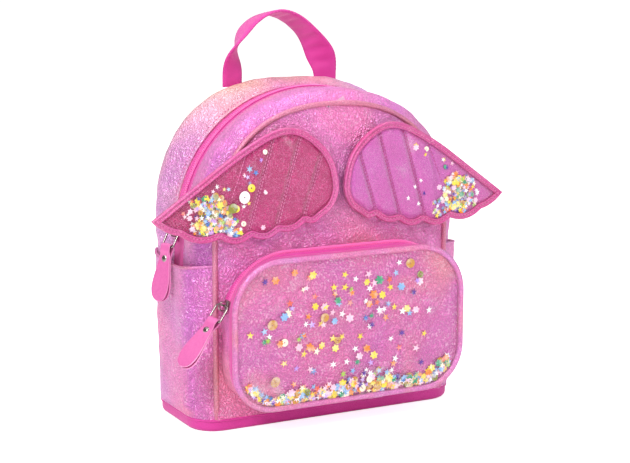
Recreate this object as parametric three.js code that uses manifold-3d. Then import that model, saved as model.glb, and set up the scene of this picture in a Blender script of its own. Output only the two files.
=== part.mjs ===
// A child's mini backpack with a pair of confetti-filled wings on its front flap.
// Millimetres, +Z up, front toward -Y. The origin is the middle of the underside of the base.
import * as THREE from 'three';
import Module from 'manifold-3d';
import { mergeVertices } from 'three/addons/utils/BufferGeometryUtils.js';

const wasm = await Module();
wasm.setup();

// ---- driving sizes ----
const archRadius = 107;       // the main zip runs on this radius
const archCentreZ = 144;      // height of the middle of the arch
const depth = 90;             // seam to seam, front to back
const wall = 2;               // thickness of the lined fabric
const gap = 0.3;              // between pieces that touch
const foldZ = 139;            // the flap folds forward here, just under the ends of the main zip
const panelSwell = 7;         // how far the front panel stands proud of its seam
const base = { grow: 5, height: 9, corner: 22, edge: 3.5, floor: 2.4, board: 2.2 };
const piping = { radius: 2 };
const zip = { tape: 0.9, tapeWidth: 3.9, coil: 2.2, coilWidth: 1.7, slot: 1.6, y: -2 };
const pocket = {
  halfWidth: 94, top: 135, bottom: 21, topRadius: 49, bottomRadius: 32,
  front: 30, faceGrow: 2, faceDrop: 2.5, faceTopRadius: 37, foldZ: 92, zipSetback: 12, frontTape: 5.6,
};
const wing = { foldX: 90, seatY: -10.3, backing: 1.3, chamber: 2.4, film: 0.7, rim: 4.6, cut: 1.1 };
const sidePocket = { top: 127, sag: 4, room: 5, slack: 2, skin: 1.3, seam: 1.5 };
const handle = { halfSpan: 41, rise: 53, width: 24, foot: 8, thick: 2.6 };
const strap = { width: 36, thick: 6, webWidth: 19, webThick: 1.6 };
const slider = { length: 10.5, inRing: 1.7, plate: 1.2, post: 1, loopHeight: 5.4, loopBar: 1.2 };
const ring = { wire: 1.3, width: 12, length: 13, corner: 2 };
const tab = { length: 44, thick: 2.4 };

const baseHalf = archRadius + base.grow;     // half-width of the base
const frontY = -depth / 2;
const backY = depth / 2;
const archHalf = archRadius - 9;             // half-width at the front seam
const degrees = Math.PI / 180;

// ---- colours ----
const foil = { color: 0xe79bd0, roughness: 0.35, metalness: 0.45 };
const hotPink = { color: 0xf03fa6, roughness: 0.6, metalness: 0 };
const salmon = { color: 0xd98aa4, roughness: 0.4, metalness: 0.3 };
const nickel = { color: 0x9a9594, roughness: 0.3, metalness: 1 };
const tabPink = { color: 0xe07ab5, roughness: 0.5, metalness: 0.1 };
const vinyl = { color: 0xf6dbea, roughness: 0.1, metalness: 0, transparent: true, opacity: 0.4 };
const glitter = { color: 0xcf3f8c, roughness: 0.4, metalness: 0.4 };
const satin = { color: 0xe08cc8, roughness: 0.45, metalness: 0.2 };
const confetti = { color: 0xe6d15a, roughness: 0.4, metalness: 0.2 };
const board = { color: 0xd9d4cf, roughness: 0.9, metalness: 0 };
const plastic = { color: 0xe8409f, roughness: 0.35, metalness: 0 };

// ---- geometry helpers ----
const model = new THREE.Group();

function addPiece(name, geometry, look) {
  const mesh = new THREE.Mesh(geometry, new THREE.MeshStandardMaterial(look));
  mesh.name = name;
  model.add(mesh);
  return mesh;
}

// A closed mesh from points and triangles, turned to face out.
function closedMesh(points, triangles) {
  let volume = 0;
  for (const [a, b, c] of triangles) {
    volume += points[a].dot(new THREE.Vector3().crossVectors(points[b], points[c]));
  }
  const facing = volume < 0 ? triangles.map(([a, b, c]) => [a, c, b]) : triangles;
  const geometry = new THREE.BufferGeometry();
  geometry.setFromPoints(points);
  geometry.setIndex(facing.flat());
  return geometry;
}

// A skin over a row of sections, each a loop with an even number of points that pair off
// first with last. Open runs are closed with ladder caps.
function sweep(sections, isRing = false) {
  const count = sections[0].length;
  const triangles = [];
  const runs = isRing ? sections.length : sections.length - 1;
  for (let s = 0; s < runs; s += 1) {
    const here = s * count;
    const next = ((s + 1) % sections.length) * count;
    for (let i = 0; i < count; i += 1) {
      const j = (i + 1) % count;
      triangles.push([here + i, here + j, next + j], [here + i, next + j, next + i]);
    }
  }
  if (!isRing) {
    const last = (sections.length - 1) * count;
    for (let i = 0; i < count / 2 - 1; i += 1) {
      const pair = count - 1 - i;
      triangles.push([i, pair, i + 1], [i + 1, pair, pair - 1]);
      triangles.push([last + i, last + i + 1, last + pair]);
      triangles.push([last + i + 1, last + pair - 1, last + pair]);
    }
  }
  return closedMesh(sections.flat(), triangles.filter((t) => new Set(t).size === 3));
}

// A sheet between two grids of the same size.
function sheet(outer, inner) {
  return sweep(outer.map((row, r) => [...row, ...[...inner[r]].reverse()]));
}

function mirrored(geometry) {
  const copy = geometry.clone().applyMatrix4(new THREE.Matrix4().makeScale(-1, 1, 1));
  const index = Array.from(copy.index.array);
  for (let i = 0; i < index.length; i += 3) {
    [index[i + 1], index[i + 2]] = [index[i + 2], index[i + 1]];
  }
  copy.setIndex(index);
  return copy;
}

function toSolid(geometry) {
  const plain = geometry.clone();
  plain.deleteAttribute('normal');
  plain.deleteAttribute('uv');
  const merged = mergeVertices(plain, 1e-4);
  return new wasm.Manifold(new wasm.Mesh({
    numProp: 3,
    vertProperties: Float32Array.from(merged.attributes.position.array),
    triVerts: Uint32Array.from(merged.index.array),
  }));
}

function toGeometry(solid) {
  const mesh = solid.getMesh();
  const geometry = new THREE.BufferGeometry();
  geometry.setAttribute('position', new THREE.BufferAttribute(mesh.vertProperties, 3));
  geometry.setIndex(new THREE.BufferAttribute(mesh.triVerts, 1));
  return geometry;
}

function boxBetween(low, high) {
  const size = high.map((value, i) => value - low[i]);
  const box = new THREE.BoxGeometry(...size);
  return box.translate(...low.map((value, i) => value + size[i] / 2));
}

function lerp(a, b, share) {
  return a + (b - a) * share;
}

function roundSection(centre, along, outward, radius, sides) {
  const across = new THREE.Vector3().crossVectors(along, outward);
  return Array.from({ length: sides }, (_, i) => {
    const turn = (2 * Math.PI * i) / sides;
    const point = centre.clone().addScaledVector(outward, radius * Math.cos(turn));
    return point.addScaledVector(across, radius * Math.sin(turn));
  });
}

// ---- the bag's outline: straight legs under a rounded arch ----
function power(value, exponent) {
  return Math.sign(value) * Math.abs(value) ** exponent;
}

// Points {x, z, nx, nz} from the right fold over the top to the left fold.
function archOutline({ half, rise = half, roundness = 2 }, legZ, steps = 26) {
  const points = [{ x: half, z: legZ, nx: 1, nz: 0 }];
  for (let i = 0; i <= steps; i += 1) {
    const turn = (Math.PI * i) / steps;
    const x = half * power(Math.cos(turn), 2 / roundness);
    const z = archCentreZ + rise * power(Math.sin(turn), 2 / roundness);
    points.push({ x, z, nx: Math.cos(turn), nz: Math.sin(turn) });
  }
  points.push({ x: -half, z: legZ, nx: -1, nz: 0 });
  return points;
}

// Sections over the arch through rings at several depths y, with the wall inside them.
function archBand(rings, legZ, thick = wall, steps = 26) {
  const outer = rings.map((r) => archOutline(r, legZ, steps));
  const inner = rings.map((r) => archOutline(
    { half: r.half - thick, rise: (r.rise ?? r.half) - thick, roundness: r.roundness }, legZ, steps));
  return sweep(outer[0].map((_, i) => [
    ...rings.map((r, k) => new THREE.Vector3(outer[k][i].x, r.y, outer[k][i].z)),
    ...rings.map((r, k) => new THREE.Vector3(inner[k][i].x, r.y, inner[k][i].z)).reverse(),
  ]));
}

// Rings from a list of [share of the way, growth past the zip radius, roundness].
function ringsBetween(startY, endY, swell) {
  return swell.map(([share, grow, roundness, riseGrow = grow]) => ({
    y: lerp(startY, endY, share),
    half: archRadius + grow,
    rise: archRadius + riseGrow,
    roundness,
  }));
}

const seamInset = piping.radius + 0.5;      // from the seam line to the edge of the fabric beside it
const frontSwell = [
  [0, -4, 2.35, -5],
  [0.2, 2, 2.3, -0.5],
  [0.5, 3.6, 2.2, 1.2],
  [0.8, 2.4, 2.1, 1],
  [1, 0.8, 2.05, 0.6],
];
const rearSwell = [[0, 0.8, 2.05], [0.3, 3.5, 2.3], [0.62, 5.5, 2.5], [0.88, 3.6, 2.5], [1, 0.4, 2.5]];
const zipReach = zip.slot / 2 + zip.coilWidth + gap + zip.tapeWidth + gap;   // from the slot to the gusset
const frontRings = ringsBetween(frontY + seamInset, zip.y - zipReach, frontSwell);
const rearRings = ringsBetween(zip.y + zipReach, backY - seamInset, rearSwell);

// Depth of the front panel's face, swelling forward inside its seam.
function panelY(x, z) {
  const side = Math.min(1, Math.abs(x) / archHalf) ** 2.35;
  if (z > archCentreZ) {
    const up = ((z - archCentreZ) / archHalf) ** 2.35;
    return frontY - panelSwell * (1 - Math.min(1, side + up) ** 2);
  }
  const down = Math.min(1, (archCentreZ - z) / (archCentreZ - base.height)) ** 6;
  return frontY - panelSwell * (1 - side ** 2) * (1 - down);
}

// Half-width of a panel at height z, inside a seam of the given half-width and roundness.
function panelHalf(z, half, roundness) {
  const up = Math.max(0, (z - archCentreZ) / half);
  return half * Math.max(0, 1 - up ** roundness) ** (1 / roundness);
}

function panelGrid(heights, half, roundness, depthAt) {
  const columns = 12;
  return heights.map((z) => Array.from({ length: columns + 1 }, (_, c) => {
    const x = panelHalf(z, half, roundness) * Math.sin((c / columns - 0.5) * Math.PI);
    return new THREE.Vector3(x, depthAt(x, z), z);
  }));
}

function panelSheet(heights, half, roundness, depthAt, thick = wall) {
  const outer = panelGrid(heights, half, roundness, depthAt);
  const inner = outer.map((row) => row.map((p) => new THREE.Vector3(p.x, p.y + thick, p.z)));
  return sheet(outer, inner);
}

// ---- base ----
function roundedPlan(halfX, halfY, corner, z, y = 0) {
  const loop = [];
  for (let quarter = 0; quarter < 4; quarter += 1) {
    for (let i = 0; i <= 4; i += 1) {
      const turn = (quarter + i / 4) * 90 * degrees;
      const cx = (halfX - corner) * (quarter === 0 || quarter === 3 ? 1 : -1);
      const cy = (halfY - corner) * (quarter < 2 ? 1 : -1);
      loop.push(new THREE.Vector3(cx + corner * Math.cos(turn), y + cy + corner * Math.sin(turn), z));
    }
  }
  return loop;
}

function makeBase() {
  const halfY = depth / 2 - 0.6;
  const at = (inset, z) => roundedPlan(baseHalf - inset, halfY - inset, base.corner - inset, z);
  addPiece('base_panel', sweep([
    at(base.edge, 0), at(base.edge * 0.3, base.edge * 0.35), at(0, base.edge),
    at(0, base.height), at(wall, base.height), at(wall, base.floor),
  ]), hotPink);
  const inset = wall + gap + 0.7;
  const boardZ = base.floor + gap;
  addPiece('base_board', sweep([at(inset, boardZ), at(inset, boardZ + base.board)]), board);
}

// ---- body panels ----
function sidePlan() {
  const dip = { y: zip.y, half: archRadius + 0.8 };
  const rings = [...frontRings.slice(0, 4), dip, ...rearRings.slice(1)];
  return rings.map(({ y, half }) => ({ y, half: half - 0.6 }));
}

// Half-width of the side panel at depth y and height z: straighter and fuller toward the base.
function sideHalf(y, half, z) {
  const share = THREE.MathUtils.clamp((foldZ - z) / (foldZ - base.height), 0, 1);
  const past = Math.max(0, Math.abs(y) - (depth / 2 - base.corner));
  const corner = base.corner - Math.sqrt(Math.max(0, base.corner ** 2 - past ** 2));
  return lerp(half, baseHalf - 1.5 - corner, share ** 0.5);
}

function makeSides() {
  const heights = [base.height + gap, 22, 50, 95, foldZ - gap];
  const plan = sidePlan();
  const rows = (inset) => heights.map((z) => plan.map(({ y, half }) =>
    new THREE.Vector3(sideHalf(y, half, z) - inset, y, z)));
  const right = sheet(rows(0), rows(wall));
  addPiece('side_panel_right', right, foil);
  addPiece('side_panel_left', mirrored(right), foil);
}

function makeSidePockets() {
  const plan = sidePlan();
  const start = frontY + seamInset + 0.5;
  const end = backY - seamInset - 3;
  const shares = [0, 0.05, 0.25, 0.5, 0.75, 0.95, 1];
  const levels = [0, 0.035, 0.3, 0.65, 1];
  const halfAt = (y, z) => {
    const after = Math.max(1, plan.findIndex((ring) => ring.y >= y));
    const [a, b] = [plan[after - 1], plan[after]];
    return sideHalf(y, lerp(a.half, b.half, (y - a.y) / (b.y - a.y)), z);
  };
  const rows = (extra) => levels.map((level) => shares.map((share) => {
    const y = lerp(start, end, share);
    const top = sidePocket.top - sidePocket.sag * Math.sin(Math.PI * share);
    const z = lerp(base.height + 1, top, level);
    const isSeam = share === 0 || share === 1 || level === 0;
    const room = sidePocket.room + sidePocket.slack * level * Math.sin(Math.PI * share);
    return new THREE.Vector3(halfAt(y, z) + (isSeam ? sidePocket.seam : room) + extra, y, z);
  }));
  const right = sheet(rows(sidePocket.skin), rows(0));
  addPiece('side_pocket_right', right, foil);
  addPiece('side_pocket_left', mirrored(right), foil);
}

function makePanels() {
  const edge = archHalf - seamInset;
  const lower = [base.height + gap, 30, 60, 90, 116, foldZ - gap];
  const topZ = archCentreZ + edge * 0.992;
  const shares = [0, 0.2, 0.42, 0.6, 0.75, 0.87, 0.95, 1];
  const upper = shares.map((share) => lerp(foldZ + gap, topZ, share));
  addPiece('front_panel_lower', panelSheet(lower, edge, 2.35, panelY), foil);
  addPiece('front_panel_upper', panelSheet(upper, edge, 2.35, panelY), foil);
  const backEdge = archRadius - 3 - seamInset;
  const backTop = archCentreZ + backEdge * 0.992;
  const backHeights = [base.height + gap, 40, 90, 144, ...[0.45, 0.7, 0.88, 0.96, 1].map(
    (share) => lerp(archCentreZ, backTop, share))];
  addPiece('back_panel', panelSheet(backHeights, backEdge, 2.5, () => backY + 1), foil);
}

function makeGussets() {
  addPiece('front_gusset', archBand(frontRings, foldZ + gap), foil);
  addPiece('rear_gusset', archBand(rearRings, foldZ + gap), foil);
}

// ---- piping ----
function pipingArch(half, y, roundness, legZ, steps) {
  const points = archOutline({ half, rise: half, roundness }, legZ, steps);
  return sweep(points.map(({ x, z }, i) => {
    const before = points[Math.max(0, i - 1)];
    const after = points[Math.min(points.length - 1, i + 1)];
    const along = new THREE.Vector3(after.x - before.x, 0, after.z - before.z).normalize();
    if (i === 0 || i === points.length - 1) {
      along.set(0, 0, i === 0 ? 1 : -1);
    }
    return roundSection(new THREE.Vector3(x, y, z), along, new THREE.Vector3(0, 1, 0), piping.radius, 6);
  }));
}

function makePiping() {
  const y = frontY - 0.3;
  const up = new THREE.Vector3(0, 0, 1);
  const out = new THREE.Vector3(0, 1, 0);
  const right = sweep([base.height + gap, foldZ - gap].map((z) =>
    roundSection(new THREE.Vector3(archHalf, y, z), up, out, piping.radius, 6)));
  addPiece('piping_front_right', right, salmon);
  addPiece('piping_front_left', mirrored(right), salmon);
  addPiece('piping_front_arch', pipingArch(archHalf, y, 2.35, foldZ + gap, 26), salmon);
  addPiece('piping_back', pipingArch(archRadius - 3, backY + 0.3, 2.5, base.height + gap, 26), foil);
}

// ---- main zip: two halves on one circle, each a tape with its row of coil ----
// A band along a route of {x, z, nx, nz}, through stations of depth y and half-thickness.
function bandAlong(route, stations) {
  return sweep(route.map((p) => {
    const at = (side) => ({ y, half }) => {
      const [x, z] = [p.x + side * half * p.nx, p.z + side * half * p.nz];
      return new THREE.Vector3(x, typeof y === 'function' ? y(x, z) : y, z);
    };
    return [...stations.map(at(1)), ...stations.map(at(-1)).reverse()];
  }));
}

function arcRoute(centre, radius, fromDeg, toDeg, steps) {
  return Array.from({ length: steps + 1 }, (_, i) => {
    const turn = lerp(fromDeg, toDeg, i / steps) * degrees;
    const [nx, nz] = [Math.cos(turn), Math.sin(turn)];
    return { x: centre.x + radius * nx, z: centre.z + radius * nz, nx, nz };
  });
}

// The coil next to the slot, then the flat tape out to its far edge.
function zipHalf(zipY, side, tapeEdge) {
  const coilY = zipY + side * coilEdge;
  return [
    { y: zipY + side * slotHalf, half: zip.coil / 2 },
    { y: coilY, half: zip.coil / 2 },
    { y: coilY + side * 0.2, half: zip.tape / 2 },
    { y: tapeEdge, half: zip.tape / 2 },
  ];
}

// Half the angle that a slider covers on a curve of the given radius, with room to spare.
function sliderReach(radius) {
  return Math.asin((slider.length / 2 + 1) / radius) / degrees;
}

const mainSliderAngle = 180 - 1.5;
const slotHalf = zip.slot / 2;
const coilEdge = slotHalf + zip.coilWidth;

function makeMainZip() {
  const centre = { x: 0, z: archCentreZ };
  const clearEnd = 180 - mainSliderAngle + sliderReach(archRadius) + 0.8;
  const reach = coilEdge + gap + zip.tapeWidth;
  const rear = arcRoute(centre, archRadius, -2, 182, 30);
  const front = arcRoute(centre, archRadius, clearEnd, 180 - clearEnd, 28);
  addPiece('zip_half_rear', bandAlong(rear, zipHalf(zip.y, 1, zip.y + reach)), hotPink);
  addPiece('zip_half_front', bandAlong(front, zipHalf(zip.y, -1, zip.y - reach)), hotPink);
}

// ---- front pocket ----
const pocketFrontY = frontY - pocket.front;
const pocketZipY = frontY - pocket.zipSetback;
const rearRing = {
  half: pocket.halfWidth, top: pocket.top, bottom: pocket.bottom,
  topRadius: pocket.topRadius, bottomRadius: pocket.bottomRadius,
};
const faceRing = {
  half: pocket.halfWidth + pocket.faceGrow, top: pocket.top - pocket.faceDrop, bottom: pocket.bottom + 1,
  topRadius: pocket.faceTopRadius, bottomRadius: pocket.bottomRadius,
};

function shrunk(outline, by) {
  return {
    half: outline.half - by, top: outline.top - by, bottom: outline.bottom + by,
    topRadius: outline.topRadius - by, bottomRadius: outline.bottomRadius - by,
  };
}

// Points on the straight run between two corners, the corners themselves left out.
function straightRun(from, to, count = 3) {
  return Array.from({ length: count }, (_, i) => ({
    ...from,
    x: lerp(from.x, to.x, (i + 1) / (count + 1)),
    z: lerp(from.z, to.z, (i + 1) / (count + 1)),
  }));
}

// One corner of an outline, from the side round to the top (sign 1) or the bottom (sign -1).
function cornerArc(half, level, radius, sign, start, steps) {
  return Array.from({ length: steps + 1 }, (_, i) => {
    const turn = lerp(start, Math.PI / 2, i / steps);
    const [nx, nz] = [Math.cos(turn), sign * Math.sin(turn)];
    return { x: half - radius + radius * nx, z: level - sign * radius + radius * nz, nx, nz };
  });
}

function bothSides(right) {
  const left = right.map((p) => ({ ...p, x: -p.x, nx: -p.nx })).reverse();
  return [...right, ...straightRun(right.at(-1), left[0]), ...left];
}

// From the right fold over the top to the left fold.
function overTop(outline, cutZ, steps = 8) {
  const centreZ = outline.top - outline.topRadius;
  const start = Math.asin(THREE.MathUtils.clamp((cutZ - centreZ) / outline.topRadius, -1, 1));
  const arc = (from, count) => cornerArc(outline.half, outline.top, outline.topRadius, 1, from, count);
  const leg = { x: outline.half, z: cutZ, nx: 1, nz: 0 };
  return bothSides(start > 0 ? arc(start, steps + 1) : [leg, ...arc(0, steps)]);
}

// From the right fold down, round the bottom and up to the left fold.
function underBottom(outline, cutZ, steps = 6) {
  const arc = cornerArc(outline.half, outline.bottom, outline.bottomRadius, -1, 0, steps);
  const leg = { x: outline.half, z: cutZ, nx: 1, nz: 0 };
  return bothSides([leg, ...straightRun(leg, arc[0], 2), ...arc]);
}

// A band between outlines at their own depths; a depth may follow the front panel.
function pocketBand(route, rings, cutZ, thick) {
  const outer = rings.map(({ outline }) => route(outline, cutZ));
  return sweep(outer[0].map((_, i) => {
    const at = (inset) => ({ y }, k) => {
      const p = outer[k][i];
      const [x, z] = [p.x - p.nx * inset, p.z - p.nz * inset];
      return new THREE.Vector3(x, typeof y === 'function' ? y(x, z) : y, z);
    };
    return [...rings.map(at(-thick / 2)), ...rings.map(at(thick / 2)).reverse()];
  }));
}

function pocketPiping(route, cutZ) {
  const radius = piping.radius + 0.2;
  const y = new THREE.Vector3(0, 1, 0);
  return sweep(route(faceRing, cutZ).map(({ x, z, nx, nz }) => {
    const along = new THREE.Vector3(-nz, 0, nx);
    return roundSection(new THREE.Vector3(x, pocketFrontY, z), along, y, radius, 6);
  }));
}

function pocketHalf(outline, z) {
  const low = outline.bottom + outline.bottomRadius;
  const high = outline.top - outline.topRadius;
  const [past, radius] = z < low ? [low - z, outline.bottomRadius] : [z - high, outline.topRadius];
  return past <= 0 ? outline.half : outline.half - radius + Math.sqrt(Math.max(0, radius ** 2 - past ** 2));
}

// A sheet over the pocket's face between two heights, swelling forward in its middle.
function faceSheet(inset, y, swell, thick, fromZ, toZ, rows) {
  const outline = shrunk(faceRing, inset);
  const full = shrunk(faceRing, piping.radius + 0.9);
  const middle = (full.top + full.bottom) / 2;
  const columns = 12;
  const low = Math.max(fromZ, outline.bottom + 0.6);
  const high = Math.min(toZ, outline.top - 0.6);
  const grid = (back) => Array.from({ length: rows + 1 }, (_, r) => {
    const z = lerp(low, high, Math.sin(((r / rows - 0.5) * Math.PI)) / 2 + 0.5);
    const half = pocketHalf(outline, z);
    return Array.from({ length: columns + 1 }, (__, c) => {
      const x = half * Math.sin((c / columns - 0.5) * Math.PI);
      const side = Math.abs(x / full.half) ** 4;
      const up = Math.abs((z - middle) / (full.top - middle)) ** 4;
      return new THREE.Vector3(x, y - swell * (1 - Math.min(1, side + up)) + back, z);
    });
  });
  return sheet(grid(0), grid(thick));
}

function makePocket() {
  const fabric = 1.6;
  const behindPanel = (x, z) => panelY(x, z) - 2 * gap;
  const stripEnd = pocketFrontY + piping.radius + 0.6;
  const tapeEnd = pocketZipY - coilEdge - pocket.frontTape;
  const cut = pocket.foldZ;
  const lower = [{ outline: rearRing, y: behindPanel }, { outline: faceRing, y: stripEnd }];
  const strip = [{ outline: rearRing, y: tapeEnd - gap }, { outline: faceRing, y: stripEnd }];
  addPiece('pocket_gusset_lower', pocketBand(underBottom, lower, cut - gap, fabric), foil);
  addPiece('pocket_gusset_upper', pocketBand(overTop, strip, cut + gap, fabric), foil);
  const centreZ = pocket.top - pocket.topRadius;
  const clearDeg = pocketSliderAngle + sliderReach(pocket.topRadius) + 1;
  const frontStart = centreZ + pocket.topRadius * Math.sin(clearDeg * degrees);
  const rearHalf = zipHalf(pocketZipY, 1, behindPanel);
  const frontHalf = zipHalf(pocketZipY, -1, tapeEnd);
  addPiece('pocket_zip_half_rear', bandAlong(overTop(rearRing, cut + gap), rearHalf), hotPink);
  addPiece('pocket_zip_half_front', bandAlong(overTop(rearRing, frontStart), frontHalf), hotPink);
  addPiece('pocket_piping_lower', pocketPiping(underBottom, cut - gap), foil);
  addPiece('pocket_piping_upper', pocketPiping(overTop, cut + gap), foil);
  const inset = piping.radius + 0.9;
  const backing = (from, to, rows) => faceSheet(inset, pocketFrontY + 1.2, 2, 1.4, from, to, rows);
  const film = (from, to, rows) => faceSheet(inset, pocketFrontY - 1.4, 4, 0.8, from, to, rows);
  addPiece('pocket_backing_lower', backing(0, cut - gap, 5), satin);
  addPiece('pocket_backing_upper', backing(cut + gap, 999, 5), satin);
  addPiece('pocket_window_lower', film(0, cut - gap, 5), vinyl);
  addPiece('pocket_window_upper', film(cut + gap, 999, 5), vinyl);
  const heapTop = pocket.bottom + 26;
  addPiece('pocket_confetti', faceSheet(12, pocketFrontY - 0.2, 3, 0.7, 0, heapTop, 3), confetti);
}

// ---- wings ----
// Outline of the right wing, heights measured from the middle of the arch.
function wingOutline() {
  const crown = new THREE.SplineCurve([
    [149, 21], [118, 43], [83, 67], [52, 82.2], [30, 79.9], [10, 62.6], [2.4, 39], [7, 23], [18, 14.4],
  ].map(([x, z]) => new THREE.Vector2(x, z)));
  const notches = [[18, 14.4], [30, 12.7], [51, 7.3], [73, 4.9], [98, 5.2], [128, 9.3], [149, 21]];
  const lobeDepth = [2.4, 3.2, 4, 4.6, 4.4, 2];
  const points = crown.getPoints(16);
  notches.slice(1).forEach(([x, z], i) => {
    const [fromX, fromZ] = notches[i];
    const chord = new THREE.Vector2(x - fromX, z - fromZ);
    const down = new THREE.Vector2(chord.y, -chord.x).normalize();
    const samples = i < 2 ? [0.5, 1] : [0.3, 0.7, 1];
    for (const share of samples.slice(0, i === 5 ? -1 : undefined)) {
      const dip = 4 * share * (1 - share) * lobeDepth[i];
      const lobe = new THREE.Vector2(fromX, fromZ).addScaledVector(chord, share);
      points.push(lobe.addScaledVector(down, dip));
    }
  });
  return points;
}

// The outline moved inward along the mean of the two edges' normals at each point.
function inward(points, by) {
  return points.map((p, i) => {
    const a = points[(i + points.length - 1) % points.length];
    const b = points[(i + 1) % points.length];
    const before = p.clone().sub(a).normalize();
    const after = b.clone().sub(p).normalize();
    const mean = before.add(after).normalize();
    return new THREE.Vector2(p.x - mean.y * by, p.y + mean.x * by);
  });
}

// A flat layer of the wing, from `near` to `far` in front of its seat, before it is tilted.
function wingLayer(outline, near, far, hole) {
  const shape = new THREE.Shape(outline);
  if (hole) {
    shape.holes.push(new THREE.Path([...hole].reverse()));
  }
  const layer = new THREE.ExtrudeGeometry(shape, { depth: far - near, bevelEnabled: false, steps: 1 });
  layer.rotateX(Math.PI / 2);
  return layer.translate(0, -near, archCentreZ);
}

// Two flat stretches meet at the fold line: the root leans back a little, the tip a little more.
const rootLean = 3.6 / wing.foldX;
const tipLean = 0.076;

function makeWings() {
  const outline = wingOutline();
  const film = inward(outline, wing.rim + gap);
  const frame = inward(outline, wing.rim);
  const nearFilm = wing.backing + wing.chamber;
  const heapLow = inward(outline, wing.rim + 2);
  const layers = {
    backing: wingLayer(outline, 0, wing.backing),
    rim: wingLayer(outline, wing.backing + gap, nearFilm + wing.film, frame),
    window: wingLayer(film, nearFilm, nearFilm + wing.film),
    confetti: wingLayer(heapLow, wing.backing + gap, nearFilm - gap),
  };
  const far = 400;
  const rootSide = toSolid(boxBetween([-far, -far, -far], [wing.foldX - wing.cut / 2, far, 2 * far]));
  const tipSide = toSolid(boxBetween([wing.foldX + wing.cut / 2, -far, -far], [far, far, 2 * far]));
  const heapBox = toSolid(boxBetween(
    [wing.foldX + 2, -far, -far], [wing.foldX + 43, far, archCentreZ + 31]));
  const looks = { rim: foil, window: vinyl, confetti };
  const seat = frontY + wing.seatY;
  const tilt = (solid, lean, y) => {
    const geometry = toGeometry(solid);
    const place = geometry.attributes.position;
    for (let i = 0; i < place.count; i += 1) {
      place.setY(i, place.getY(i) + y + lean * (place.getX(i) - wing.foldX));
    }
    return geometry;
  };
  const foldY = seat + rootLean * wing.foldX;
  for (const [part, layer] of Object.entries(layers)) {
    const solid = toSolid(layer);
    const isHeap = part === 'confetti';
    const stretches = isHeap ? { confetti: solid.intersect(heapBox) } : {
      [`${part}_root`]: solid.intersect(rootSide),
      [`${part}_tip`]: solid.intersect(tipSide),
    };
    for (const [label, cut] of Object.entries(stretches)) {
      const right = tilt(cut, label.endsWith('root') ? rootLean : tipLean, foldY);
      addPiece(`wing_right_${label}`, right, looks[part] ?? satin);
      addPiece(`wing_left_${label}`, mirrored(right), looks[part] ?? glitter);
    }
  }
}

// ---- carry handle ----
function makeHandle() {
  const y = backY + 2;
  const footZ = archCentreZ + archRadius + 1;
  const steps = 18;
  const sections = [];
  for (let i = 0; i <= steps; i += 1) {
    const turn = (Math.PI * i) / steps;
    const x = handle.halfSpan * power(Math.cos(turn), 0.85);
    const rise = power(Math.sin(turn), 0.85);
    const z = footZ + handle.rise * rise;
    const half = lerp(handle.foot, handle.width, Math.min(1, rise / 0.42)) / 2;
    const out = new THREE.Vector3(Math.cos(turn), 0, Math.sin(turn)).multiplyScalar(handle.thick / 2);
    const at = (side, sign) => new THREE.Vector3(x + sign * out.x, y + side * half, z + sign * out.z);
    sections.push([at(-1, 1), at(1, 1), at(1, -1), at(-1, -1)]);
  }
  addPiece('carry_handle', sweep(sections), hotPink);
}

// ---- shoulder straps ----
function ribbon(route, width, thick) {
  return sweep(route.map((p, i) => {
    const before = route[Math.max(0, i - 1)];
    const after = route[Math.min(route.length - 1, i + 1)];
    const along = after.clone().sub(before).normalize();
    const across = new THREE.Vector3(1, 0, 0).addScaledVector(along, -along.x).normalize();
    const normal = new THREE.Vector3().crossVectors(across, along);
    const at = (side, sign) => p.clone().addScaledVector(across, (side * width) / 2)
      .addScaledVector(normal, (sign * thick) / 2);
    return [at(-1, 1), at(1, 1), at(1, -1), at(-1, -1)];
  }));
}

function makeStraps() {
  const out = backY + 1 + wall + gap;
  const at = (x, y, z) => new THREE.Vector3(x, out + y, z);
  const pad = [
    at(30, 4, 232), at(31, 7, 222), at(34, 16, 205), at(38, 24, 184), at(43, 28, 162),
    at(48, 28, 142), at(54, 24, 124), at(58.5, 18.5, 110),
  ];
  const webStart = at(59.8, 17.4, 107);
  const webEnd = at(83, 3.4, 26);
  const web = [webStart, webEnd];
  const along = webEnd.clone().sub(webStart).normalize();
  const across = new THREE.Vector3(1, 0, 0).addScaledVector(along, -along.x).normalize();
  const normal = new THREE.Vector3().crossVectors(across, along);
  const frame = new THREE.Matrix4().makeBasis(across, along, normal);
  const adjusterAt = webStart.clone().lerp(webEnd, 0.45);
  const slotHalfWidth = strap.webWidth / 2 + 0.6;
  const slotThick = strap.webThick / 2 + 0.5;
  const adjuster = toSolid(new THREE.BoxGeometry(strap.webWidth + 6, 20, 5.4))
    .subtract(toSolid(new THREE.BoxGeometry(2 * slotHalfWidth, 40, 2 * slotThick)))
    .subtract(toSolid(boxBetween([-8, 2, 0], [8, 7, 10])))
    .subtract(toSolid(boxBetween([-8, -7, 0], [8, -2, 10])));
  const adjusterGeometry = toGeometry(adjuster).applyMatrix4(frame.setPosition(adjusterAt));
  const anchorBack = backY + 1 + wall + gap;
  const anchor = new THREE.ExtrudeGeometry(
    new THREE.Shape([[72, 25], [94, 25], [99, 11], [78, 11]].map(([x, z]) => new THREE.Vector2(x, z))),
    { depth: 2, bevelEnabled: false });
  anchor.rotateX(Math.PI / 2).translate(0, anchorBack + 2, 0);
  const pieces = {
    shoulder_strap: [ribbon(pad, strap.width, strap.thick), foil],
    strap_webbing: [ribbon(web, strap.webWidth, strap.webThick), hotPink],
    strap_adjuster: [adjusterGeometry, plastic],
    strap_anchor: [mergeVertices(stripped(anchor), 1e-4), foil],
  };
  for (const [name, [geometry, look]] of Object.entries(pieces)) {
    addPiece(`${name}_right`, geometry, look);
    addPiece(`${name}_left`, mirrored(geometry), look);
  }
}

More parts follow.
